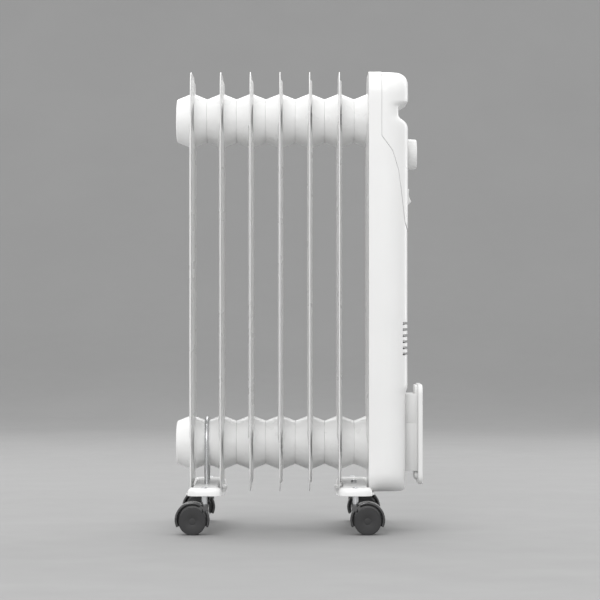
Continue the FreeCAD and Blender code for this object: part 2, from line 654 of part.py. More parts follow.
def rocker_switch(side, sign):
    """A switch body behind the panel and the rocker that tilts in it."""
    y = "%d * dims.switch_y" % sign
    panel_back = "dims.case_front + dims.panel_proud - dims.wall"
    high = "dims.switch_high / 2"
    case = block("switch_case_" + side, ("dims.switch_rear", panel_back),
                 (y + " - dims.switch_wide / 2", y + " + dims.switch_wide / 2"),
                 ("dims.switch_z - " + high, "dims.switch_z + " + high))
    tabs = []
    for number in (-1, 0, 1):
        z = "dims.switch_z + %d * 9" % number
        tabs.append(block("switch_tab_%s_%d" % (side, number + 2),
                          ("dims.switch_rear - 7", "dims.switch_rear"), (y + " - 2.4", y + " + 2.4"),
                          (z + " - 0.4", z + " + 0.4")))
    well = block("switch_well_" + side, ("dims.pivot_x - 8", "160"),
                 (y + " - dims.slot_wide / 2", y + " + dims.slot_wide / 2"),
                 ("dims.switch_z - dims.slot_half", "dims.switch_z + dims.slot_half"))
    bore = rod("switch_bore_" + side, "dims.rocker_pin + dims.running", "dims.switch_wide - 1",
               "dims.pivot_x", y + " - dims.switch_wide / 2 + 0.5", "dims.switch_z", "Y")
    node(cut("switch_" + side, fuse("switch_blank_" + side, case, *tabs), well, bore), "switch_" + side)

    crest, end = "dims.rocker_crest", "dims.rocker_end"
    heel = "dims.rocker_edge - 5"
    profile = pad("rocker_profile_" + side, "XZ", [
        (heel, "-" + end, "0.6"),
        ("dims.rocker_edge", "-" + crest, "0.6"),
        ("dims.rocker_dip", "0", "14"),
        ("dims.rocker_edge", crest, "0.6"),
        (heel, end, "0.6"),
        ("-1", "10.5", "1"),
        ("-5.5", "0", "5"),
        ("-1", "-10.5", "1"),
    ], "dims.rocker_wide")
    pins = rod("rocker_pins_" + side, "dims.rocker_pin", "dims.switch_wide - 2",
               "0", "-(dims.switch_wide - 2) / 2", "0", "Y")
    rocker = fuse("rocker_" + side, profile, pins)
    rocker.Placement.Rotation = FreeCAD.Rotation(VECTOR(0, 1, 0), -cell("dims.rocker_tilt"))
    rocker.setExpression("Placement.Base.x", "dims.pivot_x")
    rocker.setExpression("Placement.Base.y", y)
    rocker.setExpression("Placement.Base.z", "dims.switch_z")
    node(rocker, "rocker_" + side)


def pilot_lamp():
    lens = block("lamp_lens", ("dims.case_front - 3", "dims.lamp_front"),
                 ("-dims.lamp_wide / 2 + 0.05", "dims.lamp_wide / 2 - 0.05"),
                 ("dims.lamp_z - dims.lamp_high / 2 + 0.05", "dims.lamp_z + dims.lamp_high / 2 - 0.05"))
    front = cell("dims.lamp_front")
    lens = soften("lamp_rounded", lens, "0.9", lambda edge: abs(edge.CenterOfMass.x - front) < 0.01)
    tube = rod("lamp_tube", "3.2", "dims.case_front - 3 - dims.lamp_rear", "dims.lamp_rear", "0",
               "dims.lamp_z", "X")
    node(fuse("pilot_lamp", lens, tube), "pilot_lamp")


def electrics():
    """Thermal cut-out on the shield, and the terminal block on the housing's left wall."""
    face = "dims.shield_x + dims.shield_thick / 2"
    disc = rod("cutout_disc", "8", "5", face, "30", "190", "X")
    tabs = [block("cutout_tab_%d" % (way + 2), (face + " + 2", face + " + 3"),
                  ("30 + %d * 9 - 3" % way, "30 + %d * 9 + 3" % way), ("188", "192")) for way in (-1, 1)]
    node(fuse("thermal_cutout", disc, *tabs), "thermal_cutout")

    wall = "dims.case_half - dims.wall"
    body = block("terminal_body", ("107", "116"), (wall + " - 14", wall), ("130", "172"))
    ways = []
    for number in range(3):
        z = "%d" % (138 + 13 * number)
        ways.append(rod("terminal_way_%d" % number, "2", "20", "111.5", wall + " - 20", z, "Y"))
    node(cut("terminal_block", body, *ways), "terminal_block")


def lead(points, radius):
    """A wire along straight runs joined by arcs."""
    bend = 6.0
    marks = [VECTOR(*point) for point in points]
    edges, start = [], marks[0]
    for before, corner, after in zip(marks, marks[1:], marks[2:]):
        back, ahead = (before - corner).normalize(), (after - corner).normalize()
        half_turn = back.getAngle(ahead) / 2
        reach = bend / math.tan(half_turn)
        centre = corner + (back + ahead).normalize() * (bend / math.sin(half_turn))
        middle = centre + (corner - centre).normalize() * bend
        edges.append(Part.LineSegment(start, corner + back * reach).toShape())
        edges.append(Part.Arc(corner + back * reach, middle, corner + ahead * reach).toShape())
        start = corner + ahead * reach
    edges.append(Part.LineSegment(start, marks[-1]).toShape())
    path = Part.Wire(edges)
    section = Part.Wire([Part.Circle(marks[0], marks[1] - marks[0], radius).toShape()])
    return path.makePipeShell([section], True, False)


def wiring():
    """Insulated leads between the terminal block, switches, thermostat, cut-out and elements."""
    x, wall = 111.5, cell("dims.case_half - dims.wall") - 7
    switch_z, knob_z, low = cell("dims.switch_z"), cell("dims.knob_z"), cell("dims.hub_low")
    pin_x = cell("dims.element_end + dims.pin_long") + 0.4
    step, back = cell("dims.element_step"), cell("dims.switch_rear") - 7.4
    side = cell("dims.switch_y")
    radius = 1.3
    runs = [
        [(x, wall, 172.4), (x, wall, switch_z), (x, side, switch_z), (back, side, switch_z)],
        [(x, side - 4, knob_z - 3.6), (x, side - 4, 480), (x, -side, 480), (x, -side, switch_z + 9),
         (back, -side, switch_z + 9)],
        [(x + 7, -side - 5, knob_z - 17.4), (x + 7, -side - 5, 300), (x + 7, 19, 300),
         (x + 7, 19, 200), (x - 4.5, 19, 200), (x - 4.5, 19, 192.4)],
        [(back, -step, switch_z - 9), (x + 3, -step, switch_z - 9), (x + 3, -step, 220),
         (pin_x + 7, -step, 220), (pin_x + 7, -step, low + step), (pin_x, -step, low + step)],
    ]
    harness = doc.addObject("Part::Feature", "wiring_harness")
    harness.Shape = Part.makeCompound([lead(points, radius) for points in runs])
    node(harness, "wiring_harness")


def cord_gland():
    wall = "dims.case_half"
    body = rod("gland_tube", "dims.gland_body", "dims.gland_in", "dims.gland_x",
               wall + " - dims.gland_in", "dims.gland_z", "Y")
    rim = rod("gland_collar", "dims.gland_rim", "dims.gland_out", "dims.gland_x", wall, "dims.gland_z", "Y")
    outer = cell("dims.case_half + dims.gland_out")
    rim = soften("gland_collar_rounded", rim, "1.2",
                 lambda edge: is_circle(edge) and abs(edge.CenterOfMass.y - outer) < 0.01)
    bore = rod("gland_way", "dims.gland_bore", "40", "dims.gland_x", wall + " - 20", "dims.gland_z", "Y")
    node(cut("cord_gland", fuse("gland_blank", body, rim), bore), "cord_gland")


# ---------------------------------------------------------------- cord winder

def cord_winder():
    middle = "(dims.case_step + dims.spool_front) / 2"
    long = "dims.spool_front - dims.case_step"
    form = pad("spool_form", "YZ",
               rectangle("dims.spool_half", "dims.spool_low", "dims.spool_top", "dims.spool_corner"),
               long, middle)
    ring = pad("spool_groove_outer", "XY", rectangle("9", "-40", "40", "0"), "0.8", middle,
               "0", "dims.spool_seam")
    core = pad("spool_groove_core", "XY",
               rectangle("9.5", "-dims.spool_half + 0.5", "dims.spool_half - 0.5", "0"),
               "1.2", middle, "0", "dims.spool_seam")
    groove = cut("spool_groove", ring, core)
    ways = [rod("spool_way_" + level, "2.1", "40", "dims.case_step - 5", "0",
                "dims.winder_screw_" + level, "X") for level in ("low", "top")]
    node(cut("cord_winder_spool", form, groove, *ways), "cord_winder_spool")

    thick = "dims.plate_front - dims.spool_front"
    plate = pad("winder_plate", "YZ",
                rectangle("dims.plate_half", "dims.plate_low", "dims.plate_top", "dims.plate_corner"),
                thick, "(dims.plate_front + dims.spool_front) / 2")
    front, rear = cell("dims.plate_front"), cell("dims.spool_front")
    plate = soften("winder_plate_rounded", plate, "1.4",
                   lambda edge: min(abs(edge.CenterOfMass.x - front), abs(edge.CenterOfMass.x - rear)) < 0.01)
    lips = []
    for level, low, high, corner in (("low", "dims.lip_low", "dims.spool_low", "low"),
                                     ("top", "dims.spool_top", "dims.lip_top", "high")):
        rounding = ("4", "0") if corner == "low" else ("0", "4")
        lips.append(pad("winder_lip_" + level, "XZ", [
            ("dims.lip_rear", low, rounding[0]), ("dims.spool_front + 1", low, "0"),
            ("dims.spool_front + 1", high, "0"), ("dims.lip_rear", high, rounding[1])],
            "2 * dims.lip_half"))
    ways = []
    for level in ("low", "top"):
        z = "dims.winder_screw_" + level
        ways.append(rod("plate_way_" + level, "2.1", "40", "dims.case_step", "0", z, "X"))
        ways.append(rod("plate_recess_" + level, "4.3", "10", "dims.plate_front - 3", "0", z, "X"))
    node(cut("cord_winder_flange", fuse("winder_blank", plate, *lips), *ways), "cord_winder_flange")

    screws = []
    for level in ("low", "top"):
        z = "dims.winder_screw_" + level
        head = rod("winder_head_" + level, "4", "2.4", "dims.plate_front - 3", "0", z, "X")
        front = cell("dims.plate_front") - 0.6
        head = soften("winder_head_rounded_" + level, head, "0.9",
                      lambda edge: is_circle(edge) and abs(edge.CenterOfMass.x - front) < 0.01)
        start = "dims.case_step - dims.wall - 3"
        shank = rod("winder_shank_" + level, "1.9", "dims.plate_front - 3 - (%s)" % start, start, "0", z, "X")
        cross = fuse("winder_cross_" + level,
                     block("winder_slot_a_" + level, ("dims.plate_front - 1.7", "dims.plate_front"),
                           ("-2.4", "2.4"), (z + " - 0.5", z + " + 0.5")),
                     block("winder_slot_b_" + level, ("dims.plate_front - 1.7", "dims.plate_front"),
                           ("-0.5", "0.5"), (z + " - 2.4", z + " + 2.4")))
        screws.append(cut("winder_screw_" + level, fuse("winder_screw_blank_" + level, head, shank), cross))
    node(group("winder_screws", *screws), "winder_screws")


# ---------------------------------------------------------------- brackets

def caster_bracket(end):
    """A pressed hat section across the heater, with wings under two fins and a dished end for each caster."""
    name = "caster_bracket_" + end
    x = "dims.bracket_" + end
    under = "dims.deck - dims.plate"
    foot = "dims.wing_top - dims.plate"
    pieces = [block(name + "_deck", (x + " - dims.deck_half", x + " + dims.deck_half"),
                    ("-dims.deck_long + 1", "dims.deck_long - 1"), (under, "dims.deck"))]
    for side in (-1, 1):
        near, far = "%s + %d * (dims.deck_half - dims.plate)" % (x, side), "%s + %d * dims.deck_half" % (x, side)
        tip = "%s + %d * dims.wing_wide" % (x, side)
        wall = (near, far) if side > 0 else (far, near)
        wing = (near, tip) if side > 0 else (tip, near)
        reach = ("-dims.wing_long", "dims.wing_long")
        pieces.append(block("%s_wall_%d" % (name, side + 2), wall, reach, (foot, "dims.deck")))
        pieces.append(block("%s_wing_%d" % (name, side + 2), wing, reach, (foot, "dims.wing_top")))
    for side, sign in SIDES.items():
        middle = "(dims.deck_long + dims.end_start) / 2"
        half = "(dims.deck_long - dims.end_start) / 2"
        radius = {"left": ("4", "dims.end_corner"), "right": ("dims.end_corner", "4")}[side]
        tray = pad("%s_tray_%s" % (name, side), "XY",
                   rectangle("dims.end_half", "-" + half, half, *radius),
                   "dims.deck - (%s)" % foot, x, "%d * %s" % (sign, middle), "(dims.deck + %s) / 2" % foot)
        top = cell("dims.deck")
        tray = soften("%s_tray_rounded_%s" % (name, side), tray, "3",
                      lambda edge: abs(edge.CenterOfMass.z - top) < 0.01)
        hollow = pad("%s_hollow_%s" % (name, side), "XY",
                     rectangle("dims.end_half - dims.plate", "-%s + dims.plate" % half,
                               "%s - dims.plate" % half, "2.6"),
                     "dims.deck", x, "%d * %s" % (sign, middle), under + " - dims.deck / 2")
        pieces.append(cut("%s_end_%s" % (name, side), tray, hollow))
    sheet = fuse(name + "_sheet", *pieces)
    mouth = block(name + "_mouth", (x + " - dims.deck_half + dims.plate", x + " + dims.deck_half - dims.plate"),
                  ("-dims.end_start - 5", "dims.end_start + 5"), ("0", under))
    holes = [mouth]
    for side, sign in SIDES.items():
        holes.append(rod("%s_stem_hole_%s" % (name, side), "dims.stem", "20", x,
                         "%d * dims.stem_y" % sign, "dims.deck - 10"))
        if end == "back":
            holes.append(rod("%s_loop_hole_%s" % (name, side), "dims.loop + 0.3", "20", x,
                             "%d * dims.loop_wide" % sign, "dims.deck - 10"))
    if end == "front":
        holes.append(rod(name + "_bolt_hole", "2.7", "20", x, "0", "dims.deck - 10"))
    node(cut(name, sheet, *holes), name)


def u_bolt():
    """The rod over the lower collector's neck, and the wing nuts that draw the bracket up to it."""
    x = "dims.bracket_back"
    arch = doc.addObject("Part::Torus", "loop_arch")
    bind(arch, Radius1="dims.loop_wide", Radius2="dims.loop")
    arch.Angle3 = 180
    arch.Placement.Rotation = FreeCAD.Rotation(VECTOR(0, 0, 1), 90) * FreeCAD.Rotation(VECTOR(1, 0, 0), 90)
    arch.setExpression("Placement.Base.x", x)
    arch.setExpression("Placement.Base.z", "dims.hub_low")
    legs, nuts = [], []
    nut_low, nut_high = "dims.deck - dims.plate - 6.2", "6"
    for side, sign in SIDES.items():
        y = "%d * dims.loop_wide" % sign
        legs.append(rod("loop_leg_" + side, "dims.loop", "dims.hub_low - dims.loop_end", x, y,
                        "dims.loop_end"))
        barrel = cone("nut_barrel_" + side, "4.6", "6.2", nut_high, x, y, nut_low, "Z")
        wings = [block("nut_wing_%s_%d" % (side, way + 2), ("%s + %d" % (x, 4 if way > 0 else -11),
                                                            "%s + %d" % (x, 11 if way > 0 else -4)),
                       (y + " - 1", y + " + 1"), (nut_low + " - 0.6", nut_low + " + 4.5")) for way in (-1, 1)]
        hole = rod("nut_thread_" + side, "dims.loop", "20", x, y, nut_low + " - 5")
        nuts.append(cut("wing_nut_" + side, fuse("nut_blank_" + side, barrel, *wings), hole))
    node(fuse("u_bolt", arch, *legs), "u_bolt")
    node(group("wing_nuts", *nuts), "wing_nuts")


def bracket_bolt():
    x = "dims.bracket_front"
    disc = rod("washer_disc", "5", "0.8", x, "0", "dims.deck")
    hole = rod("washer_hole", "2.7", "0.8", x, "0", "dims.deck")
    node(cut("bracket_washer", disc, hole), "bracket_washer")
    head = hexagon("bolt_head", "4.4", "3", x, "0", "dims.deck + 0.8")
    shank = rod("bolt_shank", "2.5", "9", x, "0", "dims.deck + 0.8 - 9")
    node(fuse("bracket_bolt", head, shank), "bracket_bolt")
    body = hexagon("nut_body", "4.6", "4", x, "0", "dims.deck - dims.plate - 4")
    thread = rod("nut_thread", "2.5", "4", x, "0", "dims.deck - dims.plate - 4")
    node(cut("bracket_nut", body, thread), "bracket_nut")


# ---------------------------------------------------------------- casters

def caster(end, side):
    """A stem riveted in its bracket, a hood that swivels on it, and two wheels pressed on one axle."""
    tag = "%s_%s" % (end, side)
    x = "dims.bracket_" + end
    y = "%d * dims.stem_y" % SIDES[side]
    away = ENDS[end]
    axle_x = "%s + %d * dims.trail" % (x, away)
    stem = fuse("caster_stem_" + tag,
                rod("stem_pin_" + tag, "dims.stem", "dims.deck - dims.stem_low", x, y, "dims.stem_low"),
                rod("stem_collar_" + tag, "dims.stem_collar", "dims.deck - dims.plate - dims.stem_step",
                    x, y, "dims.stem_step"),
                rod("stem_head_" + tag, "dims.stem_head", "1.4", x, y, "dims.deck"))
    node(stem, "caster_stem_" + tag)

    centre_z = "dims.wheel + dims.hood_lift"
    cover = rod("hood_drum_" + tag, "dims.hood_round", "2 * dims.hood_half", axle_x,
                y + " - dims.hood_half", centre_z, "Y")
    space = rod("hood_space_" + tag, "dims.hood_inner", "4 * dims.hood_half", axle_x,
                y + " - 2 * dims.hood_half", centre_z, "Y")
    web = rod("hood_web_" + tag, "dims.hood_round", "2 * dims.web_half", axle_x,
              y + " - dims.web_half", centre_z, "Y")
    near, far = "%s - %d * dims.hood_notch" % (axle_x, away), "%s - %d * 30" % (axle_x, away)
    notch_x = (near, far) if away < 0 else (far, near)
    notches = [block("hood_base_cut_" + tag, (axle_x + " - 40", axle_x + " + 40"),
                     (y + " - 20", y + " + 20"), ("-30", "dims.hood_low")),
               block("hood_top_cut_" + tag, notch_x, (y + " - 20", y + " + 20"),
                     ("dims.hood_top", "dims.hood_top + 20"))]
    for way in (-1, 1):
        inner, outer = "%s + %d * dims.web_half" % (y, way), "%s + %d * 20" % (y, way)
        notches.append(block("hood_notch_%s_%d" % (tag, way + 2), notch_x,
                             (inner, outer) if way > 0 else (outer, inner),
                             ("dims.hood_shelf", "dims.hood_top + 20")))
    form = cut("hood_form_" + tag, fuse("hood_sheet_" + tag, cut("hood_band_" + tag, cover, space), web),
               *notches)
    boss = rod("hood_boss_" + tag, "dims.boss", "dims.hood_top - dims.hood_shelf", x, y, "dims.hood_shelf")
    socket = rod("hood_socket_" + tag, "dims.stem + dims.running", "60", x, y, "dims.stem_low - 1")
    bore = rod("hood_bore_" + tag, "dims.axle + dims.running", "2 * dims.hood_half", axle_x,
               y + " - dims.hood_half", "dims.wheel", "Y")
    node(cut("caster_hood_" + tag, fuse("hood_blank_" + tag, form, boss), socket, bore), "caster_hood_" + tag)

    node(rod("caster_axle_" + tag, "dims.axle", "2 * dims.axle_half", axle_x, y + " - dims.axle_half",
             "dims.wheel", "Y"), "caster_axle_" + tag)
    outward = SIDES[side]
    for place_name, way in (("outer", outward), ("inner", -outward)):
        name = "caster_wheel_%s_%s" % (place_name, tag)
        low, high = "dims.wheel_inner", "dims.wheel_outer"
        start = "%s + %s" % (y, low) if way > 0 else "%s - %s" % (y, high)
        disc = rod(name + "_disc", "dims.wheel", "%s - %s" % (high, low), axle_x, start, "dims.wheel", "Y")
        disc = soften(name + "_tread", disc, "dims.wheel_edge", is_circle)
        seat_start = y if way > 0 else y + " - dims.axle_half"
        seat = rod(name + "_seat", "dims.axle", "dims.axle_half", axle_x, seat_start, "dims.wheel", "Y")
        node(cut(name, disc, seat), name)


# ---------------------------------------------------------------- the whole heater

for section in range(1, FIN_COUNT + 1):
    fin_section(section)
heating_element("heating_element_upper", 1)
heating_element("heating_element_lower", -1)
element_fittings()
heat_shield()
main_housing()
control_panel()
housing_screws()
thermostat()
for switch_side, switch_sign in SIDES.items():
    rocker_switch(switch_side, switch_sign)
pilot_lamp()
electrics()
wiring()
cord_gland()
cord_winder()
for bracket_end in ENDS:
    caster_bracket(bracket_end)
u_bolt()
bracket_bolt()
for caster_end in ENDS:
    for caster_side in SIDES:
        caster(caster_end, caster_side)
doc.recompute()

failed = [obj.Label for obj in doc.Objects if "Invalid" in obj.State or "Error" in obj.State]
failed += [obj.Label for obj in nodes if obj.Shape.isNull() or not obj.Shape.isValid()]
if failed:
    raise RuntimeError("these objects failed: " + ", ".join(failed))

os.makedirs("parts", exist_ok=True)
for obj in nodes:
    obj.Shape.exportStep("parts/%s.step" % obj.Label)
    print("%-34s %2d solid(s) %10.1f mm3" % (obj.Label, len(obj.Shape.Solids), obj.Shape.Volume))
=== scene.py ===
import json
import math

import bmesh
import bpy
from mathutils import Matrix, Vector


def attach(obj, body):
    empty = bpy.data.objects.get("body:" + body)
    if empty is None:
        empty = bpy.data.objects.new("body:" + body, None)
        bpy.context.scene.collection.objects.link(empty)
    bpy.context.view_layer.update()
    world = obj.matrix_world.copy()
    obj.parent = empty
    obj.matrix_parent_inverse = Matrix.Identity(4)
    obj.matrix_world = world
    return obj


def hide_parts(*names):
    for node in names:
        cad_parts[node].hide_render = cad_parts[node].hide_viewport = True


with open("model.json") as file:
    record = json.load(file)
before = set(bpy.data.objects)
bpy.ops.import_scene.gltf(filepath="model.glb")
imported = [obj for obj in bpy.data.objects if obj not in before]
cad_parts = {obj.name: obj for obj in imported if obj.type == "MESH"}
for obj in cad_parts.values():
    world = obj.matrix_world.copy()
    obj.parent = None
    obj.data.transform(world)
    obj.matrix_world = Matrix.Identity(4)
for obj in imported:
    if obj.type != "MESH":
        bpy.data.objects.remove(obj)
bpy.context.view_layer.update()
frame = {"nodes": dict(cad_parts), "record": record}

# Oil filled radiator heater. Sizes are in millimetres in the row frame, but for the camera and the lights,
# which are placed in metres.
MM = 0.001
SIDES = {"right": -1, "left": 1}
# each end's bracket X, and the way its casters trail
ENDS = {"back": (-125, -1), "front": (75, 1)}


def placed(name, data):
    """A new object that holds the data, linked to the scene."""
    obj = bpy.data.objects.new(name, data)
    bpy.context.collection.objects.link(obj)
    return obj


# ------------------------ camera and lights

camera_data = bpy.data.cameras.new("camera")
camera_data.lens = 164.6
camera_data.sensor_width = 36
camera_data.clip_end = 30
camera = placed("camera", camera_data)
camera.location = (0.0015, -3.75, 0.311)
camera.rotation_euler = (math.radians(90), 0, 0)
bpy.context.scene.camera = camera

LIT_PLACE = Vector((0, 0, 0.33))


def area_light(name, place, size, watts):
    """A rectangular lamp that faces the middle of the heater."""
    data = bpy.data.lights.new(name, "AREA")
    data.shape = "RECTANGLE"
    data.size, data.size_y = size
    data.energy = watts
    lamp = placed(name, data)
    lamp.location = place
    lamp.rotation_euler = (LIT_PLACE - Vector(place)).to_track_quat("-Z", "Y").to_euler()


area_light("key_light", (-0.55, -3, 1.9), (1, 1), 30)
area_light("right_light", (2.2, 1.8, 0.9), (0.9, 2), 15)
area_light("left_light", (-2.2, 1.8, 0.9), (0.9, 2), 15)
area_light("top_light", (-0.2, -0.2, 2.8), (0.8, 0.8), 9)
area_light("back_light", (0.2, 2.2, 2), (3.4, 1.4), 34)

world = bpy.data.worlds.new("studio")
world.use_nodes = True
sky = world.node_tree.nodes["Background"]
sky.inputs["Color"].default_value = (1, 1, 1, 1)
sky.inputs["Strength"].default_value = 1.12
bpy.context.scene.world = world
bpy.context.scene.view_settings.view_transform = "Standard"


# ------------------------ materials

# most noise values lie in this span, so a finish's range is spread over it
NOISE_LOW, NOISE_HIGH = 0.3, 0.7


def shader_node(tree, kind, values, links, output):
    """A node with constant values and links on its named inputs; gives back one of its outputs."""
    node = tree.nodes.new("ShaderNode" + kind)
    for socket, value in values.items():
        node.inputs[socket].default_value = value
    for socket, source in links.items():
        tree.links.new(source, node.inputs[socket])
    return node.outputs[output]


def noise(tree, coords, scale, detail, stretch):
    """Noise in the object's own space, stretched for a brushed finish."""
    if stretch:
        coords = shader_node(tree, "Mapping", {"Scale": stretch}, {"Vector": coords}, "Vector")
    return shader_node(tree, "TexNoise", {"Scale": scale, "Detail": detail}, {"Vector": coords}, "Fac")


def spread(tree, value, low, high):
    """A noise value turned into a range of numbers."""
    limits = {"From Min": NOISE_LOW, "From Max": NOISE_HIGH, "To Min": low, "To Max": high}
    return shader_node(tree, "MapRange", limits, {"Value": value}, "Result")


def tone(tree, value, dark, light):
    """A noise value turned into a range of colours."""
    node = tree.nodes.new("ShaderNodeValToRGB")
    for element, position, colour in zip(node.color_ramp.elements, (NOISE_LOW, NOISE_HIGH), (dark, light)):
        element.position = position
        element.color = (*colour, 1)
    tree.links.new(value, node.inputs["Fac"])
    return node.outputs["Color"]


MATERIALS = {}


def surface(name, colour, shift=0.04, rough=(0.3, 0.4), grain=(900, 0.04), blotch=14, metallic=0,
            coat=0, coat_rough=0.1, stretch=None, fine=None):
    """Colour that drifts a little, roughness that varies, and a bump at the scale of the real finish."""
    material = bpy.data.materials.new(name)
    material.use_nodes = True
    tree = material.node_tree
    shader = tree.nodes["Principled BSDF"]
    coords = tree.nodes.new("ShaderNodeTexCoord").outputs["Object"]
    drift = noise(tree, coords, blotch, 3, stretch)
    dark = tuple(channel * (1 - shift) for channel in colour)
    light = tuple(min(1, channel * (1 + shift * 0.5)) for channel in colour)
    tree.links.new(tone(tree, drift, dark, light), shader.inputs["Base Color"])
    patches = noise(tree, coords, blotch * 2.5, 2, stretch)
    tree.links.new(spread(tree, patches, *rough), shader.inputs["Roughness"])
    texture = noise(tree, coords, grain[0], 2, stretch)
    if fine:
        mix = tree.nodes.new("ShaderNodeMath")
        mix.operation = "MULTIPLY_ADD"
        mix.inputs[1].default_value = 0.4
        tree.links.new(noise(tree, coords, fine, 3, stretch), mix.inputs[0])
        tree.links.new(texture, mix.inputs[2])
        texture = mix.outputs["Value"]
    strength = {"Strength": grain[1], "Distance": 0.001}
    bump = shader_node(tree, "Bump", strength, {"Height": texture}, "Normal")
    tree.links.new(bump, shader.inputs["Normal"])
    shader.inputs["Metallic"].default_value = metallic
    shader.inputs["Coat Weight"].default_value = coat
    shader.inputs["Coat Roughness"].default_value = coat_rough
    MATERIALS[name] = material


for enamel_name, enamel_grey in (("radiator_enamel", 0.83), ("bracket_enamel", 0.80)):
    surface(enamel_name, (enamel_grey, enamel_grey, enamel_grey - 0.005), 0.02, (0.26, 0.34), (420, 0.02),
            coat=0.35, coat_rough=0.12, fine=1500)
surface("housing_plastic", (0.80, 0.80, 0.795), 0.02, (0.30, 0.38), (1300, 0.05), coat=0.12, coat_rough=0.2)
surface("control_plastic", (0.78, 0.78, 0.775), 0.02, (0.22, 0.3), (1500, 0.04), coat=0.2, coat_rough=0.12)
surface("lens_plastic", (0.82, 0.81, 0.77), 0.03, (0.12, 0.2), (300, 0.05), coat=0.5, coat_rough=0.05)
surface("gland_nylon", (0.7, 0.7, 0.69), 0.04, (0.42, 0.55), (1600, 0.12))
surface("zinc_steel", (0.66, 0.67, 0.68), 0.10, (0.2, 0.36), (900, 0.12), 60, 1, stretch=(1, 1, 0.2))
surface("element_steel", (0.36, 0.35, 0.33), 0.2, (0.4, 0.6), (900, 0.2), 60, 1)
surface("shield_steel", (0.6, 0.61, 0.62), 0.08, (0.3, 0.42), (700, 0.08), 40, 1, stretch=(1, 0.15, 1))
surface("caster_nylon", (0.022, 0.022, 0.023), 0.2, (0.12, 0.18), (1200, 0.03), 40, coat=1, coat_rough=0.06)
surface("wheel_nylon", (0.024, 0.024, 0.025), 0.15, (0.42, 0.55), (1400, 0.10), 40)
surface("electric_plastic", (0.05, 0.05, 0.05), 0.2, (0.5, 0.65), (1200, 0.15), 60)
surface("wire_insulation", (0.5, 0.45, 0.36), 0.1, (0.5, 0.65), (1200, 0.15), 80)
surface("gasket_rubber", (0.03, 0.03, 0.03), 0.2, (0.7, 0.85), (1500, 0.25), 80)
surface("print_ink", (0.16, 0.16, 0.165), 0.1, (0.45, 0.6), (1500, 0.05), 80)
surface("floor_plaster", (0.30, 0.30, 0.30), 0.02, (0.6, 0.75), (260, 0.03), 3)


# ------------------------ mesh helpers

# the most of a straight side that one rounded corner may take
SIDE_SHARE = 0.499


def circle(count):
    """(cosine, sine) at even steps round a circle."""
    return [(math.cos(2 * math.pi * step / count), math.sin(2 * math.pi * step / count))
            for step in range(count)]


def grid(rows, count, closed=False):
    """Quads over rows of count points each; closed joins the end of each row to its start."""
    return [(row * count + column, row * count + (column + 1) % count,
             (row + 1) * count + (column + 1) % count, (row + 1) * count + column)
            for row in range(rows - 1) for column in range(count if closed else count - 1)]


def arc_points(corner, before, after, radius, steps):
    """Points of the arc that rounds one corner of a 2-D outline."""
    back, ahead = (before - corner).normalized(), (after - corner).normalized()
    half = back.angle(ahead) / 2
    reach = min(radius / math.tan(half), (before - corner).length * SIDE_SHARE,
                (after - corner).length * SIDE_SHARE)
    radius = reach * math.tan(half)
    centre = corner + (back + ahead).normalized() * (radius / math.sin(half))
    start, end = corner + back * reach - centre, corner + ahead * reach - centre
    turn = math.atan2(start.x * end.y - start.y * end.x, start.dot(end))
    points = []
    for step in range(steps + 1):
        angle = turn * step / steps
        cosine, sine = math.cos(angle), math.sin(angle)
        points.append((centre.x + start.x * cosine - start.y * sine,
                       centre.y + start.x * sine + start.y * cosine))
    return points


def rounded(corners, closed=True, steps=6):
    """A 2-D outline with its corners (u, v, radius) rounded."""
    marks = [Vector(corner[:2]) for corner in corners]
    points = []
    for number, (u, v, radius) in enumerate(corners):
        end = not closed and number in (0, len(corners) - 1)
        if end or radius <= 0:
            points.append((u, v))
            continue
        before, after = marks[number - 1], marks[(number + 1) % len(marks)]
        points += arc_points(marks[number], before, after, radius, steps)
    return points


def oblong(half_u, half_v, radius, steps=6, v=0):
    """Rounded rectangle round (0, v); radius is one number or one for each corner, from low u, low v."""
    radii = radius if isinstance(radius, tuple) else (radius,) * 4
    signs = ((-1, -1), (1, -1), (1, 1), (-1, 1))
    return rounded([(a * half_u, v + b * half_v, r) for (a, b), r in zip(signs, radii)], True, steps)


AXES = {"X": lambda along, u, v: (along, u, v), "Y": lambda along, u, v: (u, along, v),
        "Z": lambda along, u, v: (u, v, along)}


# points closer than this, in metres, are joined; edges sharper than the angle, in degrees, can be bevelled
WELD_DISTANCE, BEVEL_ANGLE = 2e-6, 50


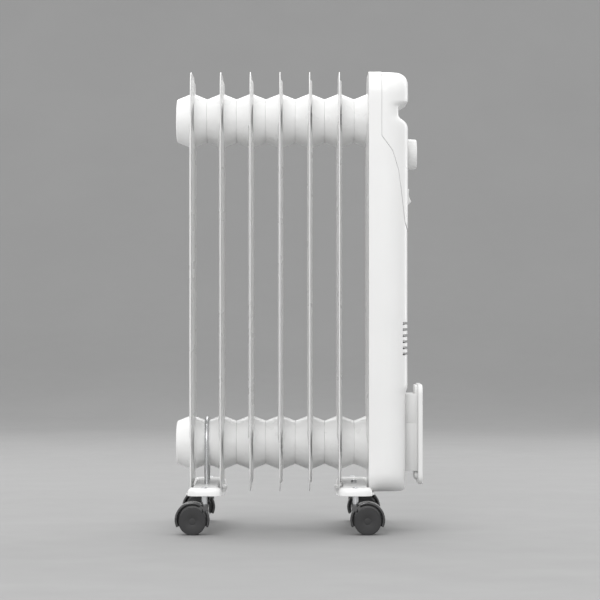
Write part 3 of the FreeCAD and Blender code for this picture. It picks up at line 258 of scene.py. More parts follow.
class Form:
    """Collects the vertices and faces of one piece."""

    def __init__(self):
        self.verts = []
        self.faces = []

    def add(self, verts, faces):
        start = len(self.verts)
        self.verts += verts
        self.faces += [tuple(start + index for index in face) for face in faces]
        return self

    def loft(self, rings, caps=True):
        """A skin through closed rings of equal length, with a face at each end when capped."""
        count = len(rings[0])
        verts = [point for ring in rings for point in ring]
        faces = grid(len(rings), count, True)
        if caps:
            faces.append(tuple(reversed(range(count))))
            faces.append(tuple(range(len(verts) - count, len(verts))))
        return self.add(verts, faces)

    def turned(self, profile, axis, centre=(0, 0, 0), segments=64, closed=False):
        """A lathe shape from (along, radius) pairs; closed joins the profile's last pair to its first."""
        rings = []
        for along, radius in profile:
            rings.append([tuple(map(sum, zip(AXES[axis](along, radius * cosine, radius * sine), centre)))
                          for cosine, sine in circle(segments)])
        if closed:
            rings.append(rings[0])
        return self.loft(rings, not closed)

    def stack(self, outlines, axis):
        """A closed form through (along, outline) pairs, with each outline square to the axis."""
        return self.loft([[AXES[axis](along, u, v) for u, v in outline] for along, outline in outlines])

    def prism(self, outline, axis, low, high):
        return self.stack([(low, outline), (high, outline)], axis)

    def shell(self, outer, inner, cells):
        """A sheet with two sides: cells index both, and every free edge gets a wall."""
        count = len(outer)
        border = {}
        for cell in cells:
            for number, first in enumerate(cell):
                second = cell[(number + 1) % len(cell)]
                if (second, first) in border:
                    del border[(second, first)]
                else:
                    border[(first, second)] = True
        faces = list(cells) + [tuple(count + index for index in reversed(cell)) for cell in cells]
        faces += [(second, first, count + first, count + second) for first, second in border]
        return self.add(outer + inner, faces)

    def tube(self, path, radii, segments):
        """A tube along points, with a radius for each."""
        points = [Vector(point) for point in path]
        normal = None
        rings = []
        for number, point in enumerate(points):
            before = points[max(number - 1, 0)]
            after = points[min(number + 1, len(points) - 1)]
            along = (after - before).normalized()
            if normal is None:
                normal = along.orthogonal().normalized()
            normal = (normal - along * normal.dot(along)).normalized()
            side = along.cross(normal)
            rings.append([tuple(point + (normal * cosine + side * sine) * radii[number])
                          for cosine, sine in circle(segments)])
        return self.loft(rings)

    def piece(self, name, slot, replaces=(), body="heater", bevel=0, angle=32, material=None):
        """Make the form an object; edges sharper than angle stay sharp, and bevel rounds the sharpest."""
        mesh = bpy.data.meshes.new(name)
        mesh.from_pydata([tuple(value * MM for value in vert) for vert in self.verts], [], self.faces)
        work = bmesh.new()
        work.from_mesh(mesh)
        bmesh.ops.remove_doubles(work, verts=work.verts, dist=WELD_DISTANCE)
        bmesh.ops.dissolve_degenerate(work, edges=work.edges, dist=WELD_DISTANCE / 2)
        bmesh.ops.recalc_face_normals(work, faces=work.faces)
        work.to_mesh(mesh)
        work.free()
        mesh.shade_smooth()
        mesh.set_sharp_from_angle(angle=math.radians(angle))
        mesh.materials.append(MATERIALS[material or slot])
        obj = placed(name, mesh)
        if bevel:
            modifier = obj.modifiers.new("edges", "BEVEL")
            modifier.width = bevel * MM
            modifier.segments = 2
            modifier.limit_method = "ANGLE"
            modifier.angle_limit = math.radians(BEVEL_ANGLE)
            modifier.harden_normals = True
        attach(obj, body)
        if replaces:
            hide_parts(*replaces)
        return obj


def smooth_step(value):
    value = min(1, max(0, value))
    return value * value * (3 - 2 * value)


# ------------------------ floor

# The sweep starts behind every camera place round the heater, so no view from the back is blocked.
SWEEP_START, SWEEP_RADIUS, STAGE_HALF, WALL_TOP = 2800, 3000, 7000, 7000
sweep = [(-STAGE_HALF, 0), (SWEEP_START, 0)]
for angle in range(2, 91, 2):
    turned = math.radians(angle)
    sweep.append((SWEEP_START + SWEEP_RADIUS * math.sin(turned), SWEEP_RADIUS * (1 - math.cos(turned))))
sweep.append((SWEEP_START + SWEEP_RADIUS, WALL_TOP))
stage_verts = [(x, y, z) for y, z in sweep for x in (-STAGE_HALF, STAGE_HALF)]
stage_mesh = bpy.data.meshes.new("floor")
stage_mesh.from_pydata([tuple(v * MM for v in vert) for vert in stage_verts], [], grid(len(sweep), 2))
stage_mesh.shade_smooth()
stage_mesh.materials.append(MATERIALS["floor_plaster"])
floor = placed("floor", stage_mesh)


# ------------------------ fin sections

FIRST_FIN, PITCH, FIN_COUNT = -145, 40, 7
# the last fin is lower, to fit inside the housing's rim
LAST_TRIM = 4
FIN_LOW, FIN_TOP, FIN_HALF, FIN_CORNER = 53, 619, 73, 30
HUB_LOW, HUB_HIGH, HUB_WIDE, NECK = 116.7, 555.4, 37.6, 29.6
SHEET_FRONT, SHEET_BACK = 0.15, -1.15
CHANNEL_STEP, CHANNEL_HALF = 32, 3.6
# the pressed zone of a fin: half its width, its corners, and its distance from the fin's bottom and top
PRESSED_HALF, PRESSED_CORNER, PRESSED_LOW, PRESSED_TOP = 43, 22, 8.6, 8
PRESSED_HIGH, PRESSED_SLOPE = 2.6, 3.2


def fin_skin(y, z, low, top, side):
    """Height of a fin's skin over its middle plane: plain rim, pressed zone and oil channels."""
    base = SHEET_FRONT if side > 0 else -SHEET_BACK
    height = base
    if side > 0:
        zone_low, zone_top = low + PRESSED_LOW, top - PRESSED_TOP
        dy = abs(y) - (PRESSED_HALF - PRESSED_CORNER)
        dz = abs(z - (zone_low + zone_top) / 2) - ((zone_top - zone_low) / 2 - PRESSED_CORNER)
        outside = math.hypot(max(dy, 0), max(dz, 0)) + min(max(dy, dz), 0) - PRESSED_CORNER
        height += PRESSED_HIGH * smooth_step(-outside / PRESSED_SLOPE)
    across = min(abs(y - step * CHANNEL_STEP) for step in (-1, 0, 1))
    bulge = smooth_step((11 - across) / 4.6)
    along = min(z - (HUB_LOW - 4), HUB_HIGH + 4 - z)
    height = max(height, base + (CHANNEL_HALF - base) * bulge * smooth_step(along / 8))
    return height


def ring_spots(low, top):
    """Y places along a fin's bottom and top, and Z places along its sides, shared by every ring."""
    columns = sorted({step * CHANNEL_STEP + offset for step in (-1, 0, 1)
                      for offset in (-11, -9.8, -8.6, -7.4, -6.2, 0, 6.2, 7.4, 8.6, 9.8, 11)} | {-16, 16})
    rows = [low + FIN_CORNER] + [HUB_LOW + step for step in (-28, -20, -8, -2, 4, 14, 28, 40)]
    rows += [HUB_LOW + 40 + (HUB_HIGH - HUB_LOW - 80) * step / 8 for step in range(1, 9)]
    rows += [HUB_HIGH + step for step in (-28, -14, -4, 2, 8, 20)] + [top - FIN_CORNER]
    return columns, rows


CORNER_STEPS = 16


def fin_ring(depth, low, top, columns, rows):
    """A fin's outline pulled in by depth, as points in order: bottom, right, top, left."""
    radius = FIN_CORNER - depth
    centre_y, centre_low, centre_top = FIN_HALF - FIN_CORNER, low + FIN_CORNER, top - FIN_CORNER

    def corner(y, z, start):
        points = []
        for step in range(1, CORNER_STEPS):
            angle = math.radians(start + 90 * step / CORNER_STEPS)
            points.append((y + radius * math.cos(angle), z + radius * math.sin(angle)))
        return points

    points = [(y, low + depth) for y in columns]
    points += corner(centre_y, centre_low, -90)
    points += [(FIN_HALF - depth, z) for z in rows]
    points += corner(centre_y, centre_top, 0)
    points += [(y, top - depth) for y in reversed(columns)]
    points += corner(-centre_y, centre_top, 90)
    points += [(-(FIN_HALF - depth), z) for z in reversed(rows)]
    points += corner(-centre_y, centre_low, 180)
    return points


def fin_plate(form, x, low, top):
    """One pressed section: rings follow the rim, and a patch of quads fills the field inside them."""
    columns, rows = ring_spots(low, top)
    rim = [(0, 0.62), (0.12, 0.35), (0.45, 0.1), (1, 0), (3.2, 0), (3.9, 0.26), (5.6, 0.26),
           (6.3, 0), (8, 0), (10, 0)]

    def place(y, z, side, drop=0):
        height = fin_skin(y, z, low, top, side) - drop
        return (x + height if side > 0 else x - height, y, z)

    loops = {side: [[place(y, z, side, drop) for y, z in fin_ring(depth, low, top, columns, rows)]
                    for depth, drop in rim] for side in (1, -1)}
    form.loft(list(reversed(loops[-1])) + loops[1], False)
    # the field: the inner ring, as complex numbers, split into four sides that meet in the corners' middles
    ring = [complex(*point) for point in fin_ring(rim[-1][0], low, top, columns, rows)]
    wide, tall = len(columns), len(rows)

    def run(start, length):
        first = start - CORNER_STEPS // 2
        return [ring[(first + step) % len(ring)] for step in range(length + CORNER_STEPS)]

    right_start = wide + CORNER_STEPS - 1
    top_start = right_start + tall + CORNER_STEPS - 1
    bottom, right, upper = run(0, wide), run(right_start, tall), run(top_start, wide)[::-1]
    left = run(top_start + wide + CORNER_STEPS - 1, tall)[::-1]
    across, up = len(bottom), len(right)
    middles = [(a.real + b.real) / 2 for a, b in zip(bottom, upper)]
    u_axis = [(y - bottom[0].real) / (bottom[-1].real - bottom[0].real) for y in middles]
    middles = [(a.imag + b.imag) / 2 for a, b in zip(left, right)]
    v_axis = [(z - left[0].imag) / (left[-1].imag - left[0].imag) for z in middles]
    field = []
    for v, west, east in zip(v_axis, left, right):
        for u, south, north in zip(u_axis, bottom, upper):
            corners = ((1 - v) * ((1 - u) * bottom[0] + u * bottom[-1])
                       + v * ((1 - u) * upper[0] + u * upper[-1]))
            point = (1 - v) * south + v * north + (1 - u) * west + u * east - corners
            field.append((point.real, point.imag))
    for side in (1, -1):
        form.add([place(y, z, side) for y, z in field], grid(up, across))


def hub_profile(first, last):
    """Lathe profiles of both plies of one collector, from one weld to the next."""
    flare, bend, neck_end = HUB_WIDE + 4.2, 3.5, (18.4, NECK + 0.62)
    weld = [neck_end, (19, NECK + 0.6), (19.5, NECK + 0.55), (19.9, NECK + 0.1), (20, NECK - 0.9)]
    start = [(-along, radius) for along, radius in reversed(weld)]
    if first:
        start = [(-21.3, 0), (-21.3, 6), (-22, 7), (-22, 21), (-21.85, 25), (-21.5, 27.2),
                 (-20.9, 28.6), (-20, 29.5), start[-1]]
    rear = start + rounded([(*start[-1], 0), (-1.4, HUB_WIDE - 0.5, bend), (-1.05, flare, 0)], False, 6)[1:]
    end = [neck_end, (19.4, 29.4), (20, 28), (20, 0)] if last else weld
    front = rounded([(2.6, flare, 0), (2.9, HUB_WIDE - 1, bend), (*neck_end, 0)], False, 6)[:-1] + end
    return rear, front


for fin in range(1, FIN_COUNT + 1):
    trim = LAST_TRIM if fin == FIN_COUNT else 0
    fin_x = FIRST_FIN + PITCH * (fin - 1)
    fin_form = Form()
    fin_plate(fin_form, fin_x, FIN_LOW + trim, FIN_TOP - trim)
    for hub_z in (HUB_LOW, HUB_HIGH):
        for hub_ply in hub_profile(fin == 1, fin == FIN_COUNT):
            fin_form.turned(hub_ply, "X", (fin_x, 0, hub_z), 96)
    fin_form.piece("radiator_fin_%d" % fin, "radiator_enamel", ["fin_section_%d" % fin], angle=50)


# ------------------------ control housing and panel

# X where the housing's corners begin to turn, on the sides
CORNER_X = 117.15
CASE_HALF, CASE_LOW, CASE_TOP, CASE_REAR, CASE_FRONT, STEP_FRONT = 77, 53, 619, 94, 146.4, 143.3
ROOF_ROUND, FLOOR_ROUND, WALL = 30, 26, 2.5
# the seam between housing and panel runs up at SEAM_X above SEAM_TOP, and forward and down below it
SEAM_X, SEAM_TOP = 111, 531
SEAM = rounded([(SEAM_X, 640, 0), (SEAM_X, SEAM_TOP, 9), (126, 511, 25), (134.5, 482, 25), (142.4, 416, 4),
                (150, 396, 0)], False, 12)


def on_line(points, value):
    """Linear reading of a polyline's second coordinate at a value of the first, or of its nearer end."""
    for first, second in zip(points, points[1:]):
        low, high = sorted((first[0], second[0]))
        if low - 1e-9 <= value <= high + 1e-9 and high - low > 1e-9:
            part = (value - first[0]) / (second[0] - first[0])
            return first[1] + part * (second[1] - first[1])
    return min(points[0], points[-1], key=lambda point: abs(value - point[0]))[1]


def case_profile(front, top, inset):
    """The housing's front in side view, as (z, x) points."""
    step, grip = STEP_FRONT - inset, 133.7 - inset
    return [(z, x) for x, z in rounded([
        (CASE_REAR, CASE_LOW + inset, 0), (step, CASE_LOW + inset, 5), (step, 185, 6),
        (front - inset, 193, 6), (front - inset, 549 - inset, 12), (grip, 557 - inset, 8),
        (grip, 571.6 + inset, 3), (front - inset, 578 + inset, 2.5),
        (front - inset, top - inset, 16 - inset), (CASE_REAR, top - inset, 0)], False, 8)]


def case_half(z, top, inset):
    """Half the housing's depth at a height, with its rounded top and bottom."""
    half, round_top, round_low = CASE_HALF - inset, ROOF_ROUND - inset, FLOOR_ROUND - inset
    over, under = z - (top - ROOF_ROUND), (CASE_LOW + FLOOR_ROUND) - z
    if over > 0:
        return half - round_top + math.sqrt(max(0, round_top ** 2 - over ** 2))
    if under > 0:
        return half - round_low + math.sqrt(max(0, round_low ** 2 - under ** 2))
    return half


# columns round the housing: fixed x on the sides, an angle on the corners, and fixed y on the front, where
# 1 and -1 stand for the front's two ends
SIDE_COLUMNS = [CASE_REAR, 95.2, 98, 104, SEAM_X]
CORNER_ANGLES = [0, 5, 11, 18, 26, 34, 42, 50, 58, 65, 71.5, 77.7, 82, 86]
SWITCH_INSIDE, SWITCH_OUTSIDE = 5.4, 18.6
FRONT_COLUMNS = [-1, -40, -31, -SWITCH_OUTSIDE, -SWITCH_INSIDE, -3.7, 0, 3.7, SWITCH_INSIDE,
                 SWITCH_OUTSIDE, 31, 40, 1]


def case_point(column, z, front_x, half):
    """A point on the ring at one height.  column is (kind, value, sign)."""
    kind, value, sign = column
    radius = max(front_x - CORNER_X, 2)
    straight = half - radius
    if kind == "side":
        return (value, sign * half, z)
    if kind == "corner":
        angle = math.radians(value)
        return (CORNER_X + radius * math.sin(angle), sign * (straight + radius * math.cos(angle)), z)
    if abs(value) == 1:
        return (front_x, sign * straight, z)
    return (front_x, value * min(1, straight / 41 if abs(value) > 32 else 1), z)


def ring_columns(sides):
    """Columns in order from the rear edge on the right, round the front, to the rear edge on the left."""
    right = [("side", x, -1) for x in sides] + [("corner", angle, -1) for angle in CORNER_ANGLES]
    left = [("side", x, 1) for x in sides] + [("corner", angle, 1) for angle in CORNER_ANGLES]
    front = [("front", y, 1 if y > 0 else -1) for y in FRONT_COLUMNS]
    return right + front + list(reversed(left))


def closing(count, start, cells):
    """Cells that join a ring's two ends across the middle, column by column."""
    for column in range(count // 2):
        mirror = count - 1 - column
        if mirror - 1 > column + 1:
            cells.append((start + column, start + column + 1, start + mirror - 1, start + mirror))
        elif mirror - 1 == column + 1:
            cells.append((start + column, start + column + 1, start + mirror))


def wall_cells(rows, count, holes):
    """Quads between rows of points, each row given by its first index, except in the holes.

    A hole is (first row, last row, first column, last column).
    """
    return [(low + column, low + column + 1, high + column + 1, high + column)
            for row, (low, high) in enumerate(zip(rows, rows[1:])) for column in range(count - 1)
            if not any(first <= row < last and left <= column < right
                       for first, last, left, right in holes)]


def levels(low, high, steps, ease=False):
    """Heights from low to high, closer together towards high when eased."""
    if ease:
        return [low + (high - low) * math.sin(math.pi / 2 * step / steps) for step in range(steps + 1)]
    return [low + (high - low) * step / steps for step in range(steps + 1)]


VENTS = [279.5 - 8.2 * number for number in range(6)]
VENT_ROWS = sorted(z + side * 1.8 for z in VENTS for side in (-1, 1))


def main_housing():
    """The rear shell, open to the radiator, with its vent slots; its upper front is left to the panel."""
    columns = ring_columns(SIDE_COLUMNS)
    count, wall_columns = len(columns), len(SIDE_COLUMNS)
    blend_low = 385
    low_rows = [CASE_LOW + FLOOR_ROUND * (1 - math.cos(math.radians(a))) for a in range(0, 91, 9)]
    low_rows += [*range(90, 171, 20), 178, *range(181, 196, 2), 198, 205, 220]
    low_rows += VENT_ROWS + [300, 330, 360, blend_low]
    blend = levels(0, 1, 14)[1:]
    roof_rows = levels(CASE_TOP - ROOF_ROUND, CASE_TOP, 12, True)
    # the strip behind the upright seam goes on to the roof, on both sides
    strip_rows = levels(SEAM_TOP, roof_rows[0], 6)[1:] + roof_rows[1:]
    surfaces = []
    for inset in (0, WALL):
        profile = case_profile(CASE_FRONT, CASE_TOP, inset)
        half = CASE_HALF - inset
        verts, rows, strip = [], [], []
        for z in low_rows:
            z = max(z, CASE_LOW + inset)
            front_x = on_line(profile, z)
            rows.append(len(verts))
            verts += [case_point(column, z, front_x, case_half(z, CASE_TOP, inset)) for column in columns]
        flat_x = on_line(profile, 450)
        for part in blend:
            rows.append(len(verts))
            for column in columns:
                x = case_point(column, 450, flat_x, half)[0]
                seam_z = SEAM_TOP if column[0] == "side" else on_line(SEAM, x)
                z = blend_low + (seam_z - blend_low) * part
                verts.append(case_point(column, z, on_line(profile, min(z, SEAM_TOP - 1)), half))
        for z in strip_rows:
            z = min(z, CASE_TOP - inset)
            strip.append(len(verts))
            verts += [case_point(column, z, CORNER_X + 20, case_half(z, CASE_TOP, inset))
                      for column in columns if column[0] == "side"]
        surfaces.append(verts)
    outer, inner = surfaces
    vent_columns = [number for number, (kind, value, _) in enumerate(columns)
                    if kind == "front" or (kind == "corner" and value >= 44)]
    cells = wall_cells(rows, count, [(low_rows.index(z), low_rows.index(z) + 1, vent_columns[0],
                                      vent_columns[-1]) for z in VENT_ROWS[::2]])
    floor_cells = []
    closing(count, rows[0], floor_cells)
    cells += [tuple(reversed(cell)) for cell in floor_cells]
    last, per_row = rows[-1], 2 * wall_columns

    def strip_index(level, number):
        if level < 0:
            return last + (number if number < wall_columns else count - per_row + number)
        return strip[level] + number

    for level in range(-1, len(strip) - 1):
        for number in list(range(wall_columns - 1)) + list(range(wall_columns, per_row - 1)):
            cells.append((strip_index(level, number), strip_index(level, number + 1),
                          strip_index(level + 1, number + 1), strip_index(level + 1, number)))
    top = strip[-1]
    for number in range(wall_columns - 1):
        mirror = per_row - 1 - number
        cells.append((top + number, top + number + 1, top + mirror - 1, top + mirror))
    Form().shell(outer, inner, cells).piece("housing_shell", "housing_plastic", ["main_housing"],
                                            bevel=0.35)


SWITCH_Z, SWITCH_Y, SWITCH_HOLE, LAMP_Z, LAMP_HOLE = 451.7, 12, 13.8, 485, 3.7
# the panel stands proud of the housing, and its rows below this height follow the seam
PROUD, SQUEEZE_TOP = 0.75, 532


def control_panel():
    """The upper front shell, with holes for the two switches and the lamp."""
    sides = [SEAM_X + 0.3, 114, 116]
    columns = ring_columns(sides)
    count = len(columns)
    front, top = CASE_FRONT + PROUD, CASE_TOP - 0.8
    switch = (SWITCH_Z - SWITCH_HOLE, SWITCH_Z + SWITCH_HOLE)
    lamp = (LAMP_Z - LAMP_HOLE, LAMP_Z + LAMP_HOLE)
    parts = [0, 0.25, 0.5, 0.75]
    heights = [switch[0], 445, SWITCH_Z, 458, switch[1], 473, lamp[0], lamp[1], 497, 510, 522]
    heights += [SQUEEZE_TOP, 538, *range(541, 558, 2), 558.5, 560.5, 563, 567, 569.5, 571.5, 572.6, 573.6,
                575, 576.2, 577.2, 578.2, 579.2, 581, 584]
    heights += levels(top - ROOF_ROUND, top, 16, True)
    surfaces = []
    for inset in (0, WALL):
        profile = case_profile(front, top, inset)
        verts, rows = [], []
        face_x = on_line(profile, 500)
        starts = []
        for column in columns:
            x = case_point(column, 500, face_x, CASE_HALF - inset)[0]
            starts.append(min(on_line(SEAM, x - 0.3) + 0.35, SEAM_TOP + 0.25))
        base = min(starts)
        levels_here = [base + (heights[0] - base) * part for part in parts]
        levels_here += [min(z, top - inset) for z in heights]
        for level in levels_here:
            rows.append(len(verts))
            for column, start in zip(columns, starts):
                z = level
                # squeezed up to the seam, more the further back the column is
                if z < SQUEEZE_TOP:
                    z = start + (z - base) * (SQUEEZE_TOP - start) / (SQUEEZE_TOP - base)
                verts.append(case_point(column, z, on_line(profile, z), case_half(z, top, inset)))
        surfaces.append(verts)
    outer, inner = surfaces
    where = {y: len(sides) + len(CORNER_ANGLES) + number for number, y in enumerate(FRONT_COLUMNS)}
    holes = [(len(parts) + heights.index(low), len(parts) + heights.index(high), where[left], where[right])
             for low, high, left, right in ((*switch, -SWITCH_OUTSIDE, -SWITCH_INSIDE),
                                            (*switch, SWITCH_INSIDE, SWITCH_OUTSIDE),
                                            (*lamp, -SWITCH_INSIDE, SWITCH_INSIDE))]
    cells = wall_cells(rows, count, holes)
    closing(count, rows[-1], cells)
    Form().shell(outer, inner, cells).piece("panel_shell", "housing_plastic", ["control_panel"],
                                            bevel=0.3)


main_housing()
control_panel()


# ------------------------ controls

KNOB_Z, KNOB_REAR = 510, 148
PANEL_FACE = CASE_FRONT + PROUD


def knob():
    """Cup-shaped knob with a fluted rim, a dished face and an inlaid pointer."""
    segments, flutes, flute_deep = 240, 40, 0.14
    # X, radius and how much the flutes show, from the inside round the rim to the middle of the face
    profile = [(158.1, 0, 0), (158.1, 14, 0), (157.2, 16.4, 0), (KNOB_REAR, 17.4, 0), (KNOB_REAR, 19.6, 0),
               (KNOB_REAR + 0.4, 20.3, 0), (KNOB_REAR + 1.6, 20.5, 0), (KNOB_REAR + 2.4, 20.5, 1),
               (158.2, 20.1, 1), (159, 20, 0.4), (159.9, 19.5, 0), (160.45, 18.6, 0), (160.7, 17.4, 0),
               (160.62, 15.5, 0), (160.35, 12, 0), (160.15, 6, 0), (160.1, 0, 0)]
    rings = []
    for along, radius, fluted in profile:
        ring = []
        for step in range(segments):
            angle = 2 * math.pi * step / segments
            reach = radius - flute_deep * fluted * (0.5 - 0.5 * math.cos(angle * flutes)) ** 2
            ring.append((along, reach * math.cos(angle), KNOB_Z + reach * math.sin(angle)))
        rings.append(ring)
    form = Form().loft(rings)
    form.turned([(KNOB_REAR + 0.2, 3.05), (KNOB_REAR, 3.4), (KNOB_REAR, 5.6), (KNOB_REAR + 0.4, 6),
                 (158.4, 6.2), (158.4, 3.05)], "X", (0, 0, KNOB_Z), 48, closed=True)
    form.piece("knob_body", "control_plastic", ["thermostat_knob"], "knob", angle=38)
    mark = Form().prism(oblong(0.75, 5.2, 0.7, 5, KNOB_Z + 11.8), "X", 160, 160.66)
    mark.piece("knob_pointer", "control_plastic", body="knob", bevel=0.12, material="print_ink")


def rocker(side, sign):
    """Dished rocker with rounded edges; its lower half stands out at rest."""
    y, pivot_x, tilt = SWITCH_Y * sign, 143, math.radians(-9.5)
    outline = rounded([(2.1, -13, 0.8), (8.7, -8.6, 0.6), (6.1, 0, 16), (8.7, 8.6, 0.6), (2.1, 13, 0.8),
                       (-1, 10.5, 1), (-5.5, 0, 5), (-1, -10.5, 1)], True, 8)

    def turn(u, v):
        return (pivot_x + u * math.cos(tilt) + v * math.sin(tilt),
                SWITCH_Z - u * math.sin(tilt) + v * math.cos(tilt))

    outlines = []
    for depth, pull in ((-6, 0.7), (-5.8, 0.28), (-5.3, 0), (5.3, 0), (5.8, 0.28), (6, 0.7)):
        shrinks = [1 - pull / max(math.hypot(u, v), 3) for u, v in outline]
        outlines.append((y + depth, [turn(u * by, v * by) for (u, v), by in zip(outline, shrinks)]))
    form = Form().stack(outlines, "Y")
    form.turned([(-7.4, 0), (-7.4, 1), (-7.2, 1.2), (7.2, 1.2), (7.4, 1), (7.4, 0)], "Y",
                (pivot_x, y, SWITCH_Z), 24)
    body = "switch_rocker_" + side
    form.piece("rocker_cap_" + side, "control_plastic", ["rocker_" + side], body, angle=40)

    # a bar on the upper half and a ring on the lower, printed on the dished face
    face, slope, height = 7.42, 0.302, 4.6

    def printed(loop, lift, way):
        points = []
        for a, b in loop:
            x, z = turn(face + lift + b * slope * way, height * way + b)
            points.append((x, y + a, z))
        return points

    bar = [(-0.35, -1.7), (0.35, -1.7), (0.35, 1.7), (-0.35, 1.7)]
    outside, inside = ([(radius * cosine, radius * sine) for cosine, sine in circle(24)]
                       for radius in (1.75, 1.15))
    under, over = -0.1, 0.05
    marks = Form().loft([printed(bar, under, 1), printed(bar, over, 1)])
    section = ((outside, under), (inside, under), (inside, over), (outside, over), (outside, under))
    marks.loft([printed(loop, lift, -1) for loop, lift in section], False)
    marks.piece("rocker_marks_" + side, "control_plastic", body=body, material="print_ink")


def lens():
    """Domed lens of the pilot lamp, and the stub behind it."""
    form = Form().stack([(x, oblong(6.95 - pull, 3.65 - min(pull, 1.6), 0.9, 6, LAMP_Z)) for x, pull in (
        (143.6, 0.4), (146.6, 0.05), (147.6, 0), (148.1, 0.25), (148.4, 0.8), (148.5, 1.8))], "X")
    form.turned([(134, 0), (134, 2.6), (134.6, 3.2), (143.7, 3.2), (143.7, 0)], "X", (0, 0, LAMP_Z), 32)
    form.piece("lamp_lens", "lens_plastic", ["pilot_lamp"], angle=45)


def lettering(name, text, size, place_y, place_z):
    """Flat printed characters on the panel's front, as a mesh."""
    curve = bpy.data.curves.new(name + "_curve", "FONT")
    curve.body = text
    curve.size = size * MM
    curve.align_x = "CENTER"
    curve.align_y = "CENTER"
    curve.extrude = 0.00003
    curve.resolution_u = 4
    holder = placed(name + "_curve", curve)
    bpy.context.view_layer.update()
    mesh = bpy.data.meshes.new_from_object(holder)
    bpy.data.objects.remove(holder)
    bpy.data.curves.remove(curve)
    mesh.name = name
    for vert in mesh.vertices:
        flat_x, flat_y, depth = vert.co
        vert.co = (PANEL_FACE * MM + depth, place_y * MM + flat_x, place_z * MM + flat_y)
    mesh.materials.clear()
    mesh.materials.append(MATERIALS["print_ink"])
    obj = placed(name, mesh)
    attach(obj, "heater")


def dial_print():
    """Tick marks and numbers round the knob, and a number under each rocker."""
    tick_step, ticks_per_number, numbers, tick_inside, number_radius = 10, 5, 7, 22.6, 30
    form = Form()
    for step in range(ticks_per_number * (numbers - 1) + 1):
        angle = math.radians(90 - tick_step * step)
        tick_outside, half = (24.6, 0.16) if step % ticks_per_number else (26, 0.3)
        across = Vector((-math.sin(angle), math.cos(angle))) * half
        along = Vector((math.cos(angle), math.sin(angle)))
        corners = [along * tick_inside - across, along * tick_outside - across,
                   along * tick_outside + across, along * tick_inside + across]
        form.prism([(c.x, c.y + KNOB_Z) for c in corners], "X", PANEL_FACE - 0.05, PANEL_FACE + 0.03)
    form.piece("dial_ticks", "control_plastic", material="print_ink")
    for number in range(numbers):
        angle = math.radians(90 - tick_step * ticks_per_number * number)
        lettering("dial_number_%d" % number, str(number), 5, number_radius * math.cos(angle),
                  KNOB_Z + number_radius * math.sin(angle))
    for side, text in (("right", "I"), ("left", "II")):
        lettering("switch_number_" + side, text, 4.2, SWITCH_Y * SIDES[side], 431.5)


knob()
for control_side, control_sign in SIDES.items():
    rocker(control_side, control_sign)
lens()
dial_print()


# ------------------------ cord winder

def winder():
    """The spool that the cord winds round, the plate on its front and the plate's two screws."""
    core_rear, plate_rear, core_half = STEP_FRONT, 161, 31
    low, top, mid = 79, 184, 144
    spool = Form()
    stages = [(low, 0.8), (low + 0.25, 0.25), (low + 0.8, 0), (mid - 0.9, 0), (mid - 0.45, 0.12),
              (mid - 0.4, 0.55), (mid + 0.4, 0.55), (mid + 0.45, 0.12), (mid + 0.9, 0), (top - 0.8, 0),
              (top - 0.25, 0.25), (top, 0.8)]
    spool.stack([(z, rounded([(core_rear, pull - core_half, 1.2), (plate_rear, pull - core_half, 0.6),
                              (plate_rear, core_half - pull, 0.6), (core_rear, core_half - pull, 1.2)],
                             True, 4)) for z, pull in stages], "Z")
    for sign in (-1, 1):
        for x in (148.2, 152.2, 156.2):
            for rib_low, rib_top in ((86, 137), (151, 177)):
                rib(spool, x, sign, core_half - 0.4, rib_low, rib_top)
    spool.piece("winder_spool", "housing_plastic", ["cord_winder_spool"], angle=40)

    plate = Form().stack([(x, oblong(50 - pull, 67.1 - pull, 12 - min(pull, 9), 10, 129.4)) for x, pull in (
        (plate_rear, 1), (161.12, 0.4), (161.5, 0.05), (162, 0), (165.9, 0), (166.5, 0.12),
        (166.8, 0.45), (167, 1.2), (166.98, 4), (166.7, 7), (166.6, 11))], "X")
    # the lips below and above the core, rounded on their far corners
    for middle, half, radii in ((73.5, 6, (6, 6, 0.5, 0.5)), (189.45, 5.95, (0.5, 0.5, 6, 6))):
        plate.stack([(x, oblong(26 - pull, half - pull, radii, 6, middle))
                     for x, pull in ((157, 0.8), (157.25, 0.25), (157.8, 0), (161.6, 0))], "X")
    plate.piece("winder_plate", "housing_plastic", ["cord_winder_flange"], angle=35)

    screws, rims = Form(), Form()
    for z in (100, 163):
        screws.turned([(164.2, 0), (164.2, 4), (166.35, 4), (166.55, 3.7), (166.75, 2.9), (166.8, 2.1)],
                      "X", (0, 0, z), 40)
        for wide, tall in ((2.3, 0.42), (0.42, 2.3)):
            screws.prism(oblong(wide, tall, 0.15, 2, z), "X", 166.4, 166.83)
        rims.turned([(166.3, 4.15), (166.62, 4.2), (166.86, 4.5), (166.9, 5.2), (166.8, 5.9), (166.3, 6)],
                    "X", (0, 0, z), 48, closed=True)
    screws.piece("winder_screw_heads", "zinc_steel", ["winder_screws"], angle=40)
    rims.piece("winder_screw_rims", "housing_plastic", angle=40)


def rib(form, x, sign, y, low, top):
    """A slim upright rib with a rounded back, let into one side of the spool's core."""
    half, high, sunk = 0.7, 0.39, 0.3
    outline = [(x + half * math.cos(a), sign * (y + high * abs(math.sin(a))))
               for a in (math.pi * k / 8 for k in range(9))]
    outline += [(x - half, sign * (y - sunk)), (x + half, sign * (y - sunk))]
    form.prism(outline, "Z", low, top)


winder()


# ------------------------ brackets and their fasteners

DECK, SHEET = 62, 1.5
# the low flanges of a bracket's sheet: half width and height
FLANGE_HALF, FLANGE = 25.8, 52.8


